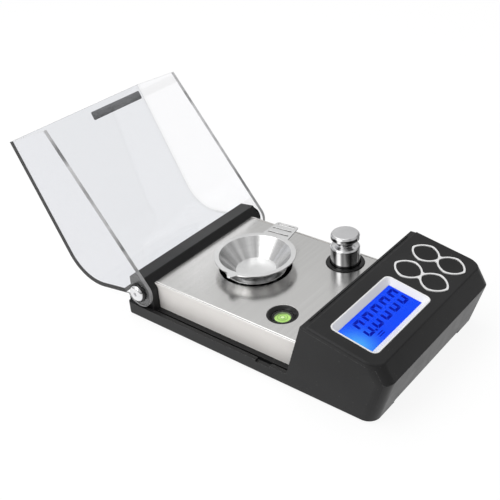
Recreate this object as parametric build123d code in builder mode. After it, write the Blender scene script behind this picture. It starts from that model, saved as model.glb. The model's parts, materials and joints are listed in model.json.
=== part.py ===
# Digital pocket scale with a clear hinged draught lid, a lift-off pan and a calibration weight.
# Frame: X to the user's right, Y from the keys towards the hinge, Z up, millimetres.
# It is drawn with the middle of the base at zero, and saved with the origin on the table under
# the middle of its whole outline with the lid open.

from build123d import *
import math
import os

os.makedirs("parts", exist_ok=True)

# Overall body
body_width = 79.6
base_length = 124.6
foot_height = 0.8
floor_thickness = 1.8
side_wall = 1.8
tray_height = 5.8
tray_rear_height = 7.2
tray_rear_wall = 1.6
front_corner_radius = 5.0
rear_corner_radius = 2.0
bottom_edge_radius = 0.6
notch_from_console = 18.85
notch_length = 7.0
notch_depth = 1.0

# Console, seen from the side
split_height = 19.5
split_overhang = 5.8
bevel_run = 4.1
bevel_height = 7.1
top_length = 33.2
top_slope = 10.4
ledge_length = 3.0
ledge_drop = 0.8
rear_lean = 16.0
cover_wall = 2.2
front_wall = 2.0
cover_edge_radius = 1.0
bead_width = 0.8
bead_height = 0.4
bead_from_side = 4.8

# Steel plate cover
plate_margin = 6.5
plate_height = 16.6
plate_thickness = 0.8
plate_bend_radius = 1.2
plate_step_height = 4.1
plate_step_inside = 0.25
plate_step_outside = 2.3
groove_height = 2.6
plate_front_cover = 0.8

# Hinge and its block
hinge_from_rear = 8.2
block_gap = 0.7
block_rise = 3.4
block_rear_drop = 1.0
block_front_drop = 5.6
block_crest_radius = 0.5
block_pocket_offset = 3.1
block_end_play = 0.4
block_screw_inset = 9.3
block_front_offset = 5.7
block_crest_offset = 2.0
block_rear_offset = 5.8
block_wall = 1.8
block_roof = 3.96
block_screw_boss = 4.0
stub_radius = 2.6
stub_play = 0.08
screw_shank_radius = 1.25
screw_head_radius = 3.65
screw_head_height = 1.5
screw_head_dome = 1.2
screw_grip = 7.0
screw_end_gap = 0.5
screw_drive_radius = 1.0
screw_drive_depth = 0.75
washer_radius = 4.4
washer_thickness = 0.5

# Clear lid
lid_inset = 0.2
lid_wall = 1.6
arm_radius = 7.0
arm_gap = 0.6
lid_front_gap = 0.55
lid_panel_clearance = 0.6
lid_rear_slope = 60.0
lid_rear_reach = 1.8
lid_bend_radius = 20.0
lid_rear_edge_height = 8.6
lid_open_angle = 129.1
label_length = 31.8
label_width = 4.1
label_right_margin = 1.9
label_front_margin = 3.0
label_thickness = 0.15
label_corner = 0.7

# Weighing platform, load cell and pan
platform_x = 0.5
platform_from_hinge = 32.4
platform_radius = 13.6
platform_thickness = 0.7
platform_rim_drop = 0.4
platform_rim_width = 0.7
platform_dish_depth = 1.7
platform_travel = 0.3
platform_hole_gap = 2.3
post_radius = 4.0
post_flange_radius = 8.5
post_flange_thickness = 1.0
cell_length = 33.0
cell_width = 9.0
cell_height = 8.0
cell_free_overhang = 5.5
cell_pedestal_height = 2.1
cell_pedestal_length = 10.0
cell_hole_radius = 2.88
cell_hole_pitch = 7.0
cell_slot_width = 2.4
cell_screw_radius = 1.45
cell_screw_inset = 2.7
cell_screw_head_radius = 2.2
cell_screw_head = 1.6
pan_rim_radius = 17.7
pan_flange = 1.85
pan_base_radius = 9.05
pan_height = 8.1
pan_sheet = 0.5
pan_seat_gap = 0.02
pan_spout_width = 6.0
pan_spout_tip = 1.4
pan_spout_reach = 2.6
pan_root_overlap = 1.0
pan_tab_width = 13.2
pan_tab_tip_width = 11.0
pan_tab_reach = 10.2
pan_tab_corner = 1.2
pan_slot_count = 3
pan_slot_start = 1.3
pan_slot_pitch = 3.7
pan_slot_width = 1.0
pan_slot_end = 1.3
pan_turn = 5.5

# Calibration weight and its pocket
weight_from_plate_side = 9.4
weight_from_console = 22.25
weight_radius = 6.4
weight_foot_edge = 0.4
weight_body_height = 13.4
weight_shoulder_width = 0.6
weight_shoulder_height = 0.7
weight_groove_width = 1.5
weight_neck_radius = 3.6
weight_neck_height = 1.6
weight_knob_radius = 6.25
weight_knob_flare = 1.6
weight_knob_edge = 0.8
weight_total_height = 20.0
pocket_depth = 5.3
pocket_radius = 8.3
pocket_rim_rise = 0.6
pocket_play = 0.35
pocket_rim_radius = 0.4
insert_wall = 1.5
insert_gap = 0.13

# Bubble level
bubble_from_plate_side = 11.8
bubble_from_console = 22.15
bubble_holder_radius = 6.35
bubble_bevel_width = 1.25
bubble_bevel_depth = 1.0
vial_radius = 4.4
vial_height = 4.6
vial_sink = 1.1
vial_wall = 0.9
vial_cap = 0.7
fluid_gap = 0.02

# Display
bezel_from_side = 5.6
bezel_key_gap = 2.85
bezel_depth = 20.4
bezel_corner = 2.5
bezel_from_rear = 18.8
bezel_rise = 0.15
bezel_recess = 2.2
bezel_lip = 0.25
bezel_rim_width = 0.5
window_side_frame = 2.4
window_end_frame = 2.85
window_corner = 0.3
window_thickness = 0.8
glass_side_inset = 0.75
glass_end_inset = 0.8
glass_thickness = 2.0
backlight_thickness = 2.6
zebra_width = 1.2
zebra_gap = 0.15
zebra_side_inset = 1.0

# Keys
key_column_from_side = 10.8
key_column_pitch = 14.0
key_column_centre = 18.9
key_row_pitch = 11.4
key_half_length = 5.2
key_half_width = 4.95
key_side_bulge = 1.15
key_play = 0.15
trim_band = 0.85
trim_rise = 0.35
key_rise = 0.15
key_flange = 0.5
key_flange_thickness = 0.6
trim_flange = 0.5
trim_flange_thickness = 0.6
trim_play = 0.05
key_travel = 0.6
key_edge_radius = 0.25
key_tip_radius = 0.8
key_side_radius = 2.2
trim_tip_radius = 1.4
waist_radius = 0.9
switch_size = 6.0
switch_body_height = 2.3
plunger_radius = 1.7
plunger_gap = 0.05

# Main board
board_gap = 0.2
board_thickness = 1.6
board_side_gap = 0.6
board_rear_margin = 8.6
board_front_margin = 1.6
board_boss_inset = 1.2
board_boss_rear = 18.9
board_boss_front = 29.6
board_boss_radius = 1.5
board_screw_radius = 0.8
board_screw_length = 4.6
board_screw_head = 0.9
chip_height = 1.2
chip_size = 12.0
chip_x = -8.0
small_chip_length = 8.0
small_chip_depth = 5.0
small_chip_x = 14.0
small_chip_forward = 2.0

# Batteries and their door
cell_battery_radius = 5.25
battery_length = 44.5
battery_pitch = 11.2
battery_from_front = 15.9
battery_floor_gap = 0.5
bay_wall = 1.5
contact_room = 2.6
contact_thickness = 0.5
spring_radius = 2.6
spring_wire = 0.5
contact_height = 8.0
terminal_radius = 1.9
terminal_height = 1.0
door_overlap = 0.05
door_rear_margin = 1.1
door_play = 0.12
door_tongue = 1.5
door_tongue_thickness = 0.6
door_thickness = 1.6
door_tongue_end = 3.0
grip_length = 16.0
grip_width = 0.8
grip_pitch = 1.8
grip_count = 5
grip_depth = 0.5
grip_from_front = 5.0

# Feet and screws
foot_radius = 4.5
foot_recess = 0.8
foot_from_side = 6.0
foot_from_front = 10.3
foot_from_rear = 20.3
case_screw_radius = 1.3
case_screw_head_radius = 2.4
case_screw_head = 1.2
case_screw_length = 8.0
case_screw_end_gap = 0.5
cover_post_from_side = 5.2
cover_post_from_console = 4.25
cover_post_radius = 2.2
screw_play = 0.03

# Flat cable between the load cell and the main board
cable_x = 4.0
cable_width = 7.0
cable_thickness = 0.4
cable_lift = 0.4
cable_from_wall = 2.0
cable_grip = 4.8

# Small running clearances
slide_gap = 0.15
seat_gap = 0.1
touch_gap = 0.05
cut_over = 1.0
probe = 0.01

# Derived body figures
half_width = body_width / 2
inner_half_width = half_width - side_wall
front_y = -base_length / 2
rear_y = base_length / 2
base_z = foot_height
floor_z = base_z + floor_thickness
tray_top = base_z + tray_height
slope = math.radians(top_slope)
top_normal = Vector(0, -math.sin(slope), math.cos(slope))

split_y = front_y - split_overhang
split_z = base_z + split_height
top_front_y = split_y + bevel_run
top_front_z = split_z + bevel_height
top_rear_y = top_front_y + top_length * math.cos(slope)
top_rear_z = top_front_z + top_length * math.sin(slope)
step_y = top_rear_y - ledge_length * math.cos(slope)
step_z = top_rear_z - ledge_length * math.sin(slope)
ledge_z = step_z - ledge_drop
console_rear_y = top_rear_y

# A plane lying on the console's sloping top: local x to the right, local y towards the hinge,
# local origin in the middle of the rear edge.
top_plane = Plane(origin=(0, top_rear_y, top_rear_z), x_dir=(1, 0, 0), z_dir=top_normal)


def console_rear(z):
    """Y of the console's leaning rear face at height z."""
    return console_rear_y + (ledge_z - z) * math.tan(math.radians(rear_lean))


def meet(p, p_angle, q, q_angle):
    """Point where two lines of the side view cross, each a point and an angle in degrees."""
    ay, az = math.cos(math.radians(p_angle)), math.sin(math.radians(p_angle))
    by, bz = math.cos(math.radians(q_angle)), math.sin(math.radians(q_angle))
    k = ((q[0] - p[0]) * bz - (q[1] - p[1]) * by) / (ay * bz - az * by)
    return (p[0] + k * ay, p[1] + k * az)


def leaf(half_length, half_breadth, bulge):
    """Leaf outline: a diamond with four sides that bow outwards."""
    half_side = math.hypot(half_length, half_breadth)
    bow_x = half_breadth / 2 + bulge * half_length / half_side
    bow_y = half_length / 2 + bulge * half_breadth / half_side
    with BuildSketch() as outline:
        with BuildLine():
            ThreePointArc((0, half_length), (bow_x, bow_y), (half_breadth, 0))
            ThreePointArc((half_breadth, 0), (bow_x, -bow_y), (0, -half_length))
            ThreePointArc((0, -half_length), (-bow_x, -bow_y), (-half_breadth, 0))
            ThreePointArc((-half_breadth, 0), (-bow_x, bow_y), (0, half_length))
        make_face()
        sides = outline.vertices().filter_by(lambda v: abs(v.X) > half_breadth / 2)
        fillet(sides, key_side_radius)
    return outline.sketch


def flat_distance(edge, point):
    """Distance from an edge's middle to a point, both seen from the side."""
    middle = edge.center()
    return math.hypot(middle.Y - point.Y, middle.Z - point.Z)


# Inside line of the console cover, one cover wall in from the bevel and the top
bevel_angle = math.degrees(math.atan2(bevel_height, bevel_run))
bevel_inward = math.radians(bevel_angle - 90)
bevel_inner_point = (
    split_y + cover_wall * math.cos(bevel_inward),
    split_z + cover_wall * math.sin(bevel_inward),
)
top_inner_point = (
    top_front_y + cover_wall * math.sin(slope),
    top_front_z - cover_wall * math.cos(slope),
)
inner_split = meet(bevel_inner_point, bevel_angle, (split_y, split_z), 0)
inner_corner = meet(bevel_inner_point, bevel_angle, top_inner_point, top_slope)
inner_rear = meet(top_inner_point, top_slope, (console_rear_y, ledge_z), 90 + rear_lean)

# Steel plate levels
plate_width = body_width - 2 * plate_margin
plate_top = base_z + plate_height
plate_under = plate_top - plate_thickness
plate_half = plate_width / 2
plate_seat = base_z + plate_step_height
plate_front_y = console_rear(plate_top) - cover_wall - plate_front_cover
step_inner = plate_half - plate_thickness - plate_step_inside
step_outer = plate_half + plate_step_outside

# Hinge levels
lid_width = body_width - 2 * lid_inset
hinge_y = rear_y - hinge_from_rear
hinge_z = tray_top + arm_gap + arm_radius
block_half = lid_width / 2 - lid_wall - block_gap
block_front_y = hinge_y - block_front_offset
block_crest_y = hinge_y - block_crest_offset
block_rear_y = hinge_y + block_rear_offset
block_top_z = plate_top + block_rise
block_pocket_y = hinge_y - block_pocket_offset
plate_rear_y = block_pocket_y - block_end_play

# Things on the plate
platform_y = hinge_y - platform_from_hinge
weight_x = plate_half - weight_from_plate_side
bubble_x = -(plate_half - bubble_from_plate_side)
weight_y = console_rear_y + weight_from_console
bubble_y = console_rear_y + bubble_from_console

# Key columns from the right side, and the display in the room to their left
key_columns = (
    half_width - key_column_from_side - key_column_pitch,
    half_width - key_column_from_side,
)
trim_half_length = key_half_length + key_play + trim_band
trim_half_width = key_half_width + key_play + trim_band
bezel_left_x = -half_width + bezel_from_side
bezel_right_x = key_columns[0] - trim_half_width - bezel_key_gap
bezel_length = bezel_right_x - bezel_left_x
bezel_x = (bezel_left_x + bezel_right_x) / 2
window_length = bezel_length - 2 * window_side_frame
window_depth = bezel_depth - 2 * window_end_frame

# The display stack, as depths under the console's top
window_top = bezel_recess
glass_top = window_top + window_thickness
backlight_top = glass_top + glass_thickness
board_top = backlight_top + backlight_thickness + board_gap
board_width = 2 * (inner_half_width - board_side_gap)
board_boss_x = board_width / 2 - board_boss_inset
trim_flange_depth = cover_wall + trim_flange_thickness
key_bottom = trim_flange_depth + seat_gap + key_flange_thickness

# Battery bay
battery_bay_y = front_y + battery_from_front
battery_axis_z = floor_z + battery_floor_gap + cell_battery_radius
bay_half_length = battery_length / 2 + contact_room
bay_top = battery_axis_z + cell_battery_radius + seat_gap
bay_half_depth = battery_pitch / 2 + cell_battery_radius + seat_gap
door_width = 2 * (bay_half_length + door_overlap)
door_rear_y = battery_bay_y + bay_half_depth + door_rear_margin

# Load cell
cell_bottom = floor_z + cell_pedestal_height
cell_top = cell_bottom + cell_height
cell_free_x = platform_x + cell_free_overhang
cell_fixed_x = cell_free_x - cell_length

# Feet and screw positions
notch_y = console_rear_y + notch_from_console
foot_x = half_width - foot_from_side
foot_front_y = front_y + foot_from_front
foot_rear_y = rear_y - foot_from_rear
cover_post_x = half_width - cover_post_from_side
cover_post_y = console_rear_y - cover_post_from_console
block_screw_x = block_half - block_screw_inset


# Outer skin of the case, shared by the bottom shell and the console cover
front_middle = Vector(0, (front_y + split_y) / 2, (base_z + split_z) / 2)
bevel_middle = Vector(0, (split_y + top_front_y) / 2, (split_z + top_front_z) / 2)
top_middle = Vector(0, (step_y + top_front_y) / 2, (step_z + top_front_z) / 2)
with BuildPart(mode=Mode.PRIVATE) as skin:
    with BuildSketch(Plane.YZ):
        with BuildLine():
            Polyline(
                (front_y, base_z),
                (split_y, split_z),
                (top_front_y, top_front_z),
                (step_y, step_z),
                (step_y, ledge_z),
                (console_rear_y, ledge_z),
                (console_rear(tray_top), tray_top),
                (rear_y, tray_top),
                (rear_y, base_z),
                close=True,
            )
        make_face()
    extrude(amount=half_width, both=True)
    side_edges = skin.edges().filter_by(lambda e: abs(e.center().X) > half_width - probe)
    leaning_corners = side_edges.filter_by(
        lambda e: min(flat_distance(e, front_middle), flat_distance(e, bevel_middle)) < probe
    )
    fillet(leaning_corners, front_corner_radius)
    rear_corners = skin.edges().filter_by(Axis.Z).sort_by(Axis.Y)[-2:]
    fillet(rear_corners, rear_corner_radius)
    bottom_rim = skin.faces().sort_by(Axis.Z)[0].edges()
    fillet(bottom_rim, bottom_edge_radius)
    top_face = skin.faces().sort_by_distance(top_middle)[0]
    fillet(top_face.edges().filter_by(lambda e: e.center().Y < step_y - probe), cover_edge_radius)

# Part of the skin that belongs to the console cover
with BuildPart(mode=Mode.PRIVATE) as cover_zone:
    with BuildSketch(Plane.YZ):
        with BuildLine():
            Polyline(
                (split_y, split_z),
                (top_front_y, top_front_z),
                (step_y, step_z),
                (step_y, ledge_z),
                (console_rear_y, ledge_z),
                inner_rear,
                inner_corner,
                inner_split,
                close=True,
            )
        make_face()
    extrude(amount=half_width, both=True)

# Bottom shell: tray, front wall and the console's two side walls in one moulding
with BuildPart() as bottom_shell:
    add(skin.part - cover_zone.part)
    # Open inside, from the front wall back to the tray's rear wall
    with BuildSketch(Plane.YZ):
        with BuildLine():
            front_wall_y = front_y + front_wall
            split_inner_y = split_y + front_wall
            inside_floor_y = front_wall_y - (floor_z - base_z) * split_overhang / split_height
            Polyline(
                (inside_floor_y, floor_z),
                (split_inner_y, split_z),
                (split_inner_y, top_rear_z + cut_over),
                (rear_y - tray_rear_wall, top_rear_z + cut_over),
                (rear_y - tray_rear_wall, floor_z),
                close=True,
            )
        make_face()
    extrude(amount=inner_half_width, both=True, mode=Mode.SUBTRACT)
    # Higher lip along the back
    with BuildSketch(Plane.XY.offset(tray_top)):
        with Locations((0, rear_y - tray_rear_wall / 2)):
            Rectangle(body_width - 2 * rear_corner_radius, tray_rear_wall)
    extrude(amount=tray_rear_height - tray_height)
    # Groove floor for the lid's side walls and the step that carries the steel plate
    side_length = rear_y - tray_rear_wall - plate_front_y
    side_middle = (rear_y - tray_rear_wall + plate_front_y) / 2
    with BuildSketch(Plane.XY.offset(floor_z)):
        for side in (-1, 1):
            with Locations((side * (inner_half_width + 1 + step_inner) / 2, side_middle)):
                Rectangle(inner_half_width + 1 - step_inner, side_length)
    extrude(amount=groove_height - floor_thickness)
    with BuildSketch(Plane.XY.offset(floor_z)):
        for side in (-1, 1):
            with Locations((side * (step_outer + step_inner) / 2, side_middle)):
                Rectangle(step_outer - step_inner, side_length)
    extrude(amount=plate_seat - floor_z)
    # Thumb notches in the tray's side walls, for lifting the lid
    with BuildSketch(Plane.XY.offset(tray_top)):
        with Locations((half_width, notch_y), (-half_width, notch_y)):
            Rectangle(2 * side_wall, notch_length)
    extrude(amount=-notch_depth, mode=Mode.SUBTRACT)
    # Battery bay walls and roof
    with BuildSketch(Plane.XY.offset(floor_z)):
        with Locations((0, battery_bay_y)):
            Rectangle(2 * (bay_half_length + bay_wall), 2 * (bay_half_depth + bay_wall))
    extrude(amount=bay_top + bay_wall - floor_z)
    with BuildSketch(Plane.XY.offset(base_z)):
        with Locations((0, battery_bay_y)):
            Rectangle(2 * bay_half_length, 2 * bay_half_depth)
    extrude(amount=bay_top - base_z, mode=Mode.SUBTRACT)
    # Door slot, open at the front edge, with a groove down each side
    slot_front_y = front_y - cut_over
    slot_rear_y = door_rear_y + door_play
    slot_middle = (slot_front_y + slot_rear_y) / 2
    slot_length = slot_rear_y - slot_front_y
    with BuildSketch(Plane.XY.offset(base_z)):
        with Locations((0, slot_middle)):
            Rectangle(door_width + 2 * door_play, slot_length)
    extrude(amount=door_thickness + door_play, mode=Mode.SUBTRACT)
    tongue_z = base_z + (door_thickness - door_tongue_thickness) / 2
    with BuildSketch(Plane.XY.offset(tongue_z - door_play)):
        with Locations((0, slot_middle)):
            Rectangle(door_width + 2 * (door_tongue + door_play), slot_length)
    extrude(amount=door_tongue_thickness + 2 * door_play, mode=Mode.SUBTRACT)
    # Pedestal under the fixed end of the load cell
    with BuildSketch(Plane.XY.offset(floor_z)):
        with Locations((cell_fixed_x + cell_pedestal_length / 2, platform_y)):
            Rectangle(cell_pedestal_length, cell_width)
    extrude(amount=cell_pedestal_height)
    # Seats for the feet
    with BuildSketch(Plane.XY.offset(base_z)):
        for x in (-foot_x, foot_x):
            with Locations((x, foot_front_y), (x, foot_rear_y)):
                Circle(foot_radius + seat_gap)
    extrude(amount=foot_recess, mode=Mode.SUBTRACT)
    # Counterbored holes for the case screws
    screw_points = [
        (-cover_post_x, cover_post_y),
        (cover_post_x, cover_post_y),
        (-block_screw_x, hinge_y),
        (block_screw_x, hinge_y),
    ]
    with BuildSketch(Plane.XY.offset(base_z)):
        with Locations(*screw_points):
            Circle(case_screw_radius + seat_gap)
    extrude(amount=floor_thickness + case_screw_length, mode=Mode.SUBTRACT)
    with BuildSketch(Plane.XY.offset(base_z)):
        with Locations(*screw_points):
            Circle(case_screw_head_radius + seat_gap)
    extrude(amount=case_screw_head, mode=Mode.SUBTRACT)
    # Tapped holes for the load cell screws
    cell_screw_points = [
        (cell_fixed_x + cell_screw_inset, platform_y),
        (cell_fixed_x + cell_pedestal_length - cell_screw_inset, platform_y),
    ]
    with BuildSketch(Plane.XY.offset(cell_bottom)):
        with Locations(*cell_screw_points):
            Circle(cell_screw_radius)
    extrude(amount=-(cell_pedestal_height + floor_thickness / 2), mode=Mode.SUBTRACT)

# Console cover: sloping top, front bevel, rear wall, screw posts and board bosses
post_top = floor_z + seat_gap
with BuildPart() as console_cover:
    add(skin.part & cover_zone.part)
    # Rear wall between the side walls, with room for the steel plate below it
    with BuildSketch(Plane.YZ):
        with BuildLine():
            Polyline(
                inner_rear,
                (console_rear(plate_seat), plate_seat),
                (console_rear(plate_seat) - front_wall, plate_seat),
                (inner_rear[0] - front_wall, inner_rear[1] - probe),
                close=True,
            )
        make_face()
    extrude(amount=inner_half_width - seat_gap, both=True)
    with BuildSketch(Plane.XZ.offset(-console_rear(plate_seat) - cut_over)):
        with Locations((0, (plate_top + slide_gap) / 2)):
            Rectangle(plate_width + 2 * slide_gap, plate_top + slide_gap)
    extrude(amount=console_rear(plate_seat) - inner_rear[0] + front_wall + 2 * cut_over, mode=Mode.SUBTRACT)
    # Low bead along the ledge, under the lid's front edge
    with BuildSketch(Plane.XY.offset(ledge_z)):
        with Locations((0, console_rear_y - bead_width)):
            Rectangle(body_width - 2 * bead_from_side, bead_width)
    extrude(amount=bead_height)
    # Posts down to the base for the case screws
    with BuildSketch(Plane.XY.offset(post_top)):
        with Locations((-cover_post_x, cover_post_y), (cover_post_x, cover_post_y)):
            Circle(cover_post_radius)
    extrude(amount=inner_rear[1] - post_top - 2 * seat_gap)
    with BuildSketch(Plane.XY.offset(post_top)):
        with Locations((-cover_post_x, cover_post_y), (cover_post_x, cover_post_y)):
            Circle(case_screw_radius)
    extrude(amount=case_screw_length, mode=Mode.SUBTRACT)
    # Bosses that carry the main board
    board_boss_points = [
        (side * board_boss_x, -row) for side in (-1, 1) for row in (board_boss_rear, board_boss_front)
    ]
    with BuildSketch(top_plane.offset(-board_top)):
        with Locations(*board_boss_points):
            Circle(board_boss_radius)
    extrude(amount=board_top - cover_wall / 2)
    with BuildSketch(top_plane.offset(-board_top)):
        with Locations(*board_boss_points):
            Circle(board_screw_radius)
    extrude(amount=board_screw_length - board_thickness, mode=Mode.SUBTRACT)
    # Opening for the display bezel
    with BuildSketch(top_plane.offset(cut_over)):
        with Locations((bezel_x, -bezel_from_rear)):
            RectangleRounded(bezel_length + 2 * seat_gap, bezel_depth + 2 * seat_gap, bezel_corner + seat_gap)
    extrude(amount=-(cover_wall + 2 * cut_over), mode=Mode.SUBTRACT)

# Key outlines: the trim's outer line, shared by the trim and the opening it sits in
key_rows = (-key_column_centre + key_row_pitch / 2, -key_column_centre - key_row_pitch / 2)


def trim_outline(column_x, grow):
    """Figure-of-eight outline around the two keys of a column, as a finished sketch."""
    with BuildSketch() as outline:
        for row in key_rows:
            with Locations((column_x, row)):
                add(leaf(trim_half_length + grow, trim_half_width + grow, key_side_bulge))
        waist = outline.vertices().filter_by(lambda v: abs(v.Y + key_column_centre) < waist_radius)
        fillet(waist, waist_radius)
        rear_tip = outline.vertices().sort_by(Axis.Y)[-1]
        fillet(rear_tip, trim_tip_radius)
    return outline.sketch


def key_outline(column_x, row, grow):
    """One key's leaf outline with slightly rounded tips."""
    with BuildSketch() as outline:
        with Locations((column_x, row)):
            add(leaf(key_half_length + grow, key_half_width + grow, key_side_bulge))
        tips = outline.vertices().sort_by(Axis.Y)
        fillet([tips[0], tips[-1]], key_tip_radius)
    return outline.sketch


with BuildPart(mode=Mode.PRIVATE) as key_openings:
    with BuildSketch(top_plane.offset(cut_over)):
        for column in key_columns:
            add(trim_outline(column, trim_play))
    extrude(amount=-(cover_wall + 2 * cut_over))
with console_cover:
    add(key_openings.part, mode=Mode.SUBTRACT)

# Steel plate cover, folded down at both sides
with BuildPart() as plate_cover:
    with BuildSketch(Plane.XZ.offset(-plate_rear_y)):
        with Locations((0, (plate_top + plate_seat) / 2)):
            Rectangle(plate_width, plate_top - plate_seat)
    extrude(amount=plate_rear_y - plate_front_y)
    top_bends = plate_cover.faces().sort_by(Axis.Z)[-1].edges().filter_by(Axis.Y)
    fillet(top_bends, plate_bend_radius)
    with BuildSketch(Plane.XZ.offset(-plate_rear_y)):
        with Locations((0, (plate_under + plate_seat) / 2)):
            Rectangle(plate_width - 2 * plate_thickness, plate_under - plate_seat)
    extrude(amount=plate_rear_y - plate_front_y, mode=Mode.SUBTRACT)
    with BuildSketch(Plane.XY.offset(plate_top + cut_over)):
        with Locations((platform_x, platform_y)):
            Circle(platform_radius + platform_hole_gap)
        with Locations((weight_x, weight_y)):
            Circle(pocket_radius + insert_gap)
        with Locations((bubble_x, bubble_y)):
            Circle(bubble_holder_radius + insert_gap)
    extrude(amount=-(plate_thickness + 2 * cut_over), mode=Mode.SUBTRACT)

# Hinge block across the back, with a stub axle at each end
with BuildPart() as hinge_block:
    with BuildSketch(Plane.YZ):
        with BuildLine():
            Polyline(
                (block_front_y, floor_z),
                (block_front_y, block_top_z - block_front_drop),
                (block_crest_y, block_top_z),
                (block_rear_y, block_top_z - block_rear_drop),
                (block_rear_y, floor_z),
                close=True,
            )
        make_face()
    extrude(amount=block_half, both=True)
    crest = hinge_block.edges().filter_by(Axis.X).sort_by(Axis.Z)[-2:]
    fillet(crest, block_crest_radius)
    # Stands over the groove floor and the step at the sides
    with BuildSketch(Plane.XY.offset(floor_z)):
        for side in (-1, 1):
            with Locations((side * (block_half + cut_over + step_inner) / 2, hinge_y)):
                Rectangle(block_half + cut_over - step_inner, 2 * (block_rear_offset + cut_over))
    extrude(amount=plate_seat - floor_z, mode=Mode.SUBTRACT)
    # Pocket that takes the rear end of the steel plate
    with BuildSketch(Plane.XY.offset(floor_z)):
        with Locations((0, (block_pocket_y + block_front_y) / 2 - cut_over)):
            Rectangle(plate_width + 2 * slide_gap, block_pocket_y - block_front_y + 2 * cut_over)
    extrude(amount=plate_top + touch_gap - floor_z, mode=Mode.SUBTRACT)
    # Hollow from below
    hollow_front_y = block_pocket_y + block_wall
    hollow_rear_y = block_rear_y - block_wall
    with BuildSketch(Plane.XY.offset(floor_z)):
        with Locations((0, (hollow_front_y + hollow_rear_y) / 2)):
            Rectangle(2 * (block_screw_x - block_screw_boss), hollow_rear_y - hollow_front_y)
    extrude(amount=block_top_z - block_roof - floor_z, mode=Mode.SUBTRACT)
    with BuildSketch(Plane.XY.offset(floor_z)):
        with Locations((-block_screw_x, hinge_y), (block_screw_x, hinge_y)):
            Circle(case_screw_radius)
    extrude(amount=case_screw_length, mode=Mode.SUBTRACT)
    stub_end = lid_width / 2
    with BuildSketch(Plane.YZ.offset(-stub_end)):
        with Locations((hinge_y, hinge_z)):
            Circle(stub_radius)
    extrude(amount=2 * stub_end)
    for side in (-1, 1):
        with BuildSketch(Plane.YZ.offset(side * stub_end)):
            with Locations((hinge_y, hinge_z)):
                Circle(screw_shank_radius + screw_play)
        extrude(amount=-side * (screw_grip + screw_end_gap), mode=Mode.SUBTRACT)

# Hinge screws and the washers under their domed heads
washer_inner = stub_end + touch_gap
with BuildPart() as hinge_washers:
    for side in (-1, 1):
        with BuildSketch(Plane.YZ.offset(side * washer_inner)):
            with Locations((hinge_y, hinge_z)):
                Circle(washer_radius)
                Circle(screw_shank_radius + seat_gap, mode=Mode.SUBTRACT)
        extrude(amount=side * washer_thickness)

head_seat = washer_inner + washer_thickness
with BuildPart() as hinge_screws:
    for side in (-1, 1):
        with BuildSketch(Plane.YZ.offset(side * head_seat)):
            with Locations((hinge_y, hinge_z)):
                Circle(screw_head_radius)
        extrude(amount=side * screw_head_height)
        with BuildSketch(Plane.YZ.offset(side * head_seat)):
            with Locations((hinge_y, hinge_z)):
                Circle(screw_shank_radius)
        extrude(amount=-side * screw_grip)
    domes = hinge_screws.faces().sort_by(Axis.X)
    fillet(domes[0].edges() + domes[-1].edges(), screw_head_dome)
    for side in (-1, 1):
        with BuildSketch(Plane.YZ.offset(side * (head_seat + screw_head_height))):
            with Locations((hinge_y, hinge_z)):
                RegularPolygon(screw_drive_radius, 6)
        extrude(amount=-side * screw_drive_depth, mode=Mode.SUBTRACT)

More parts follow.
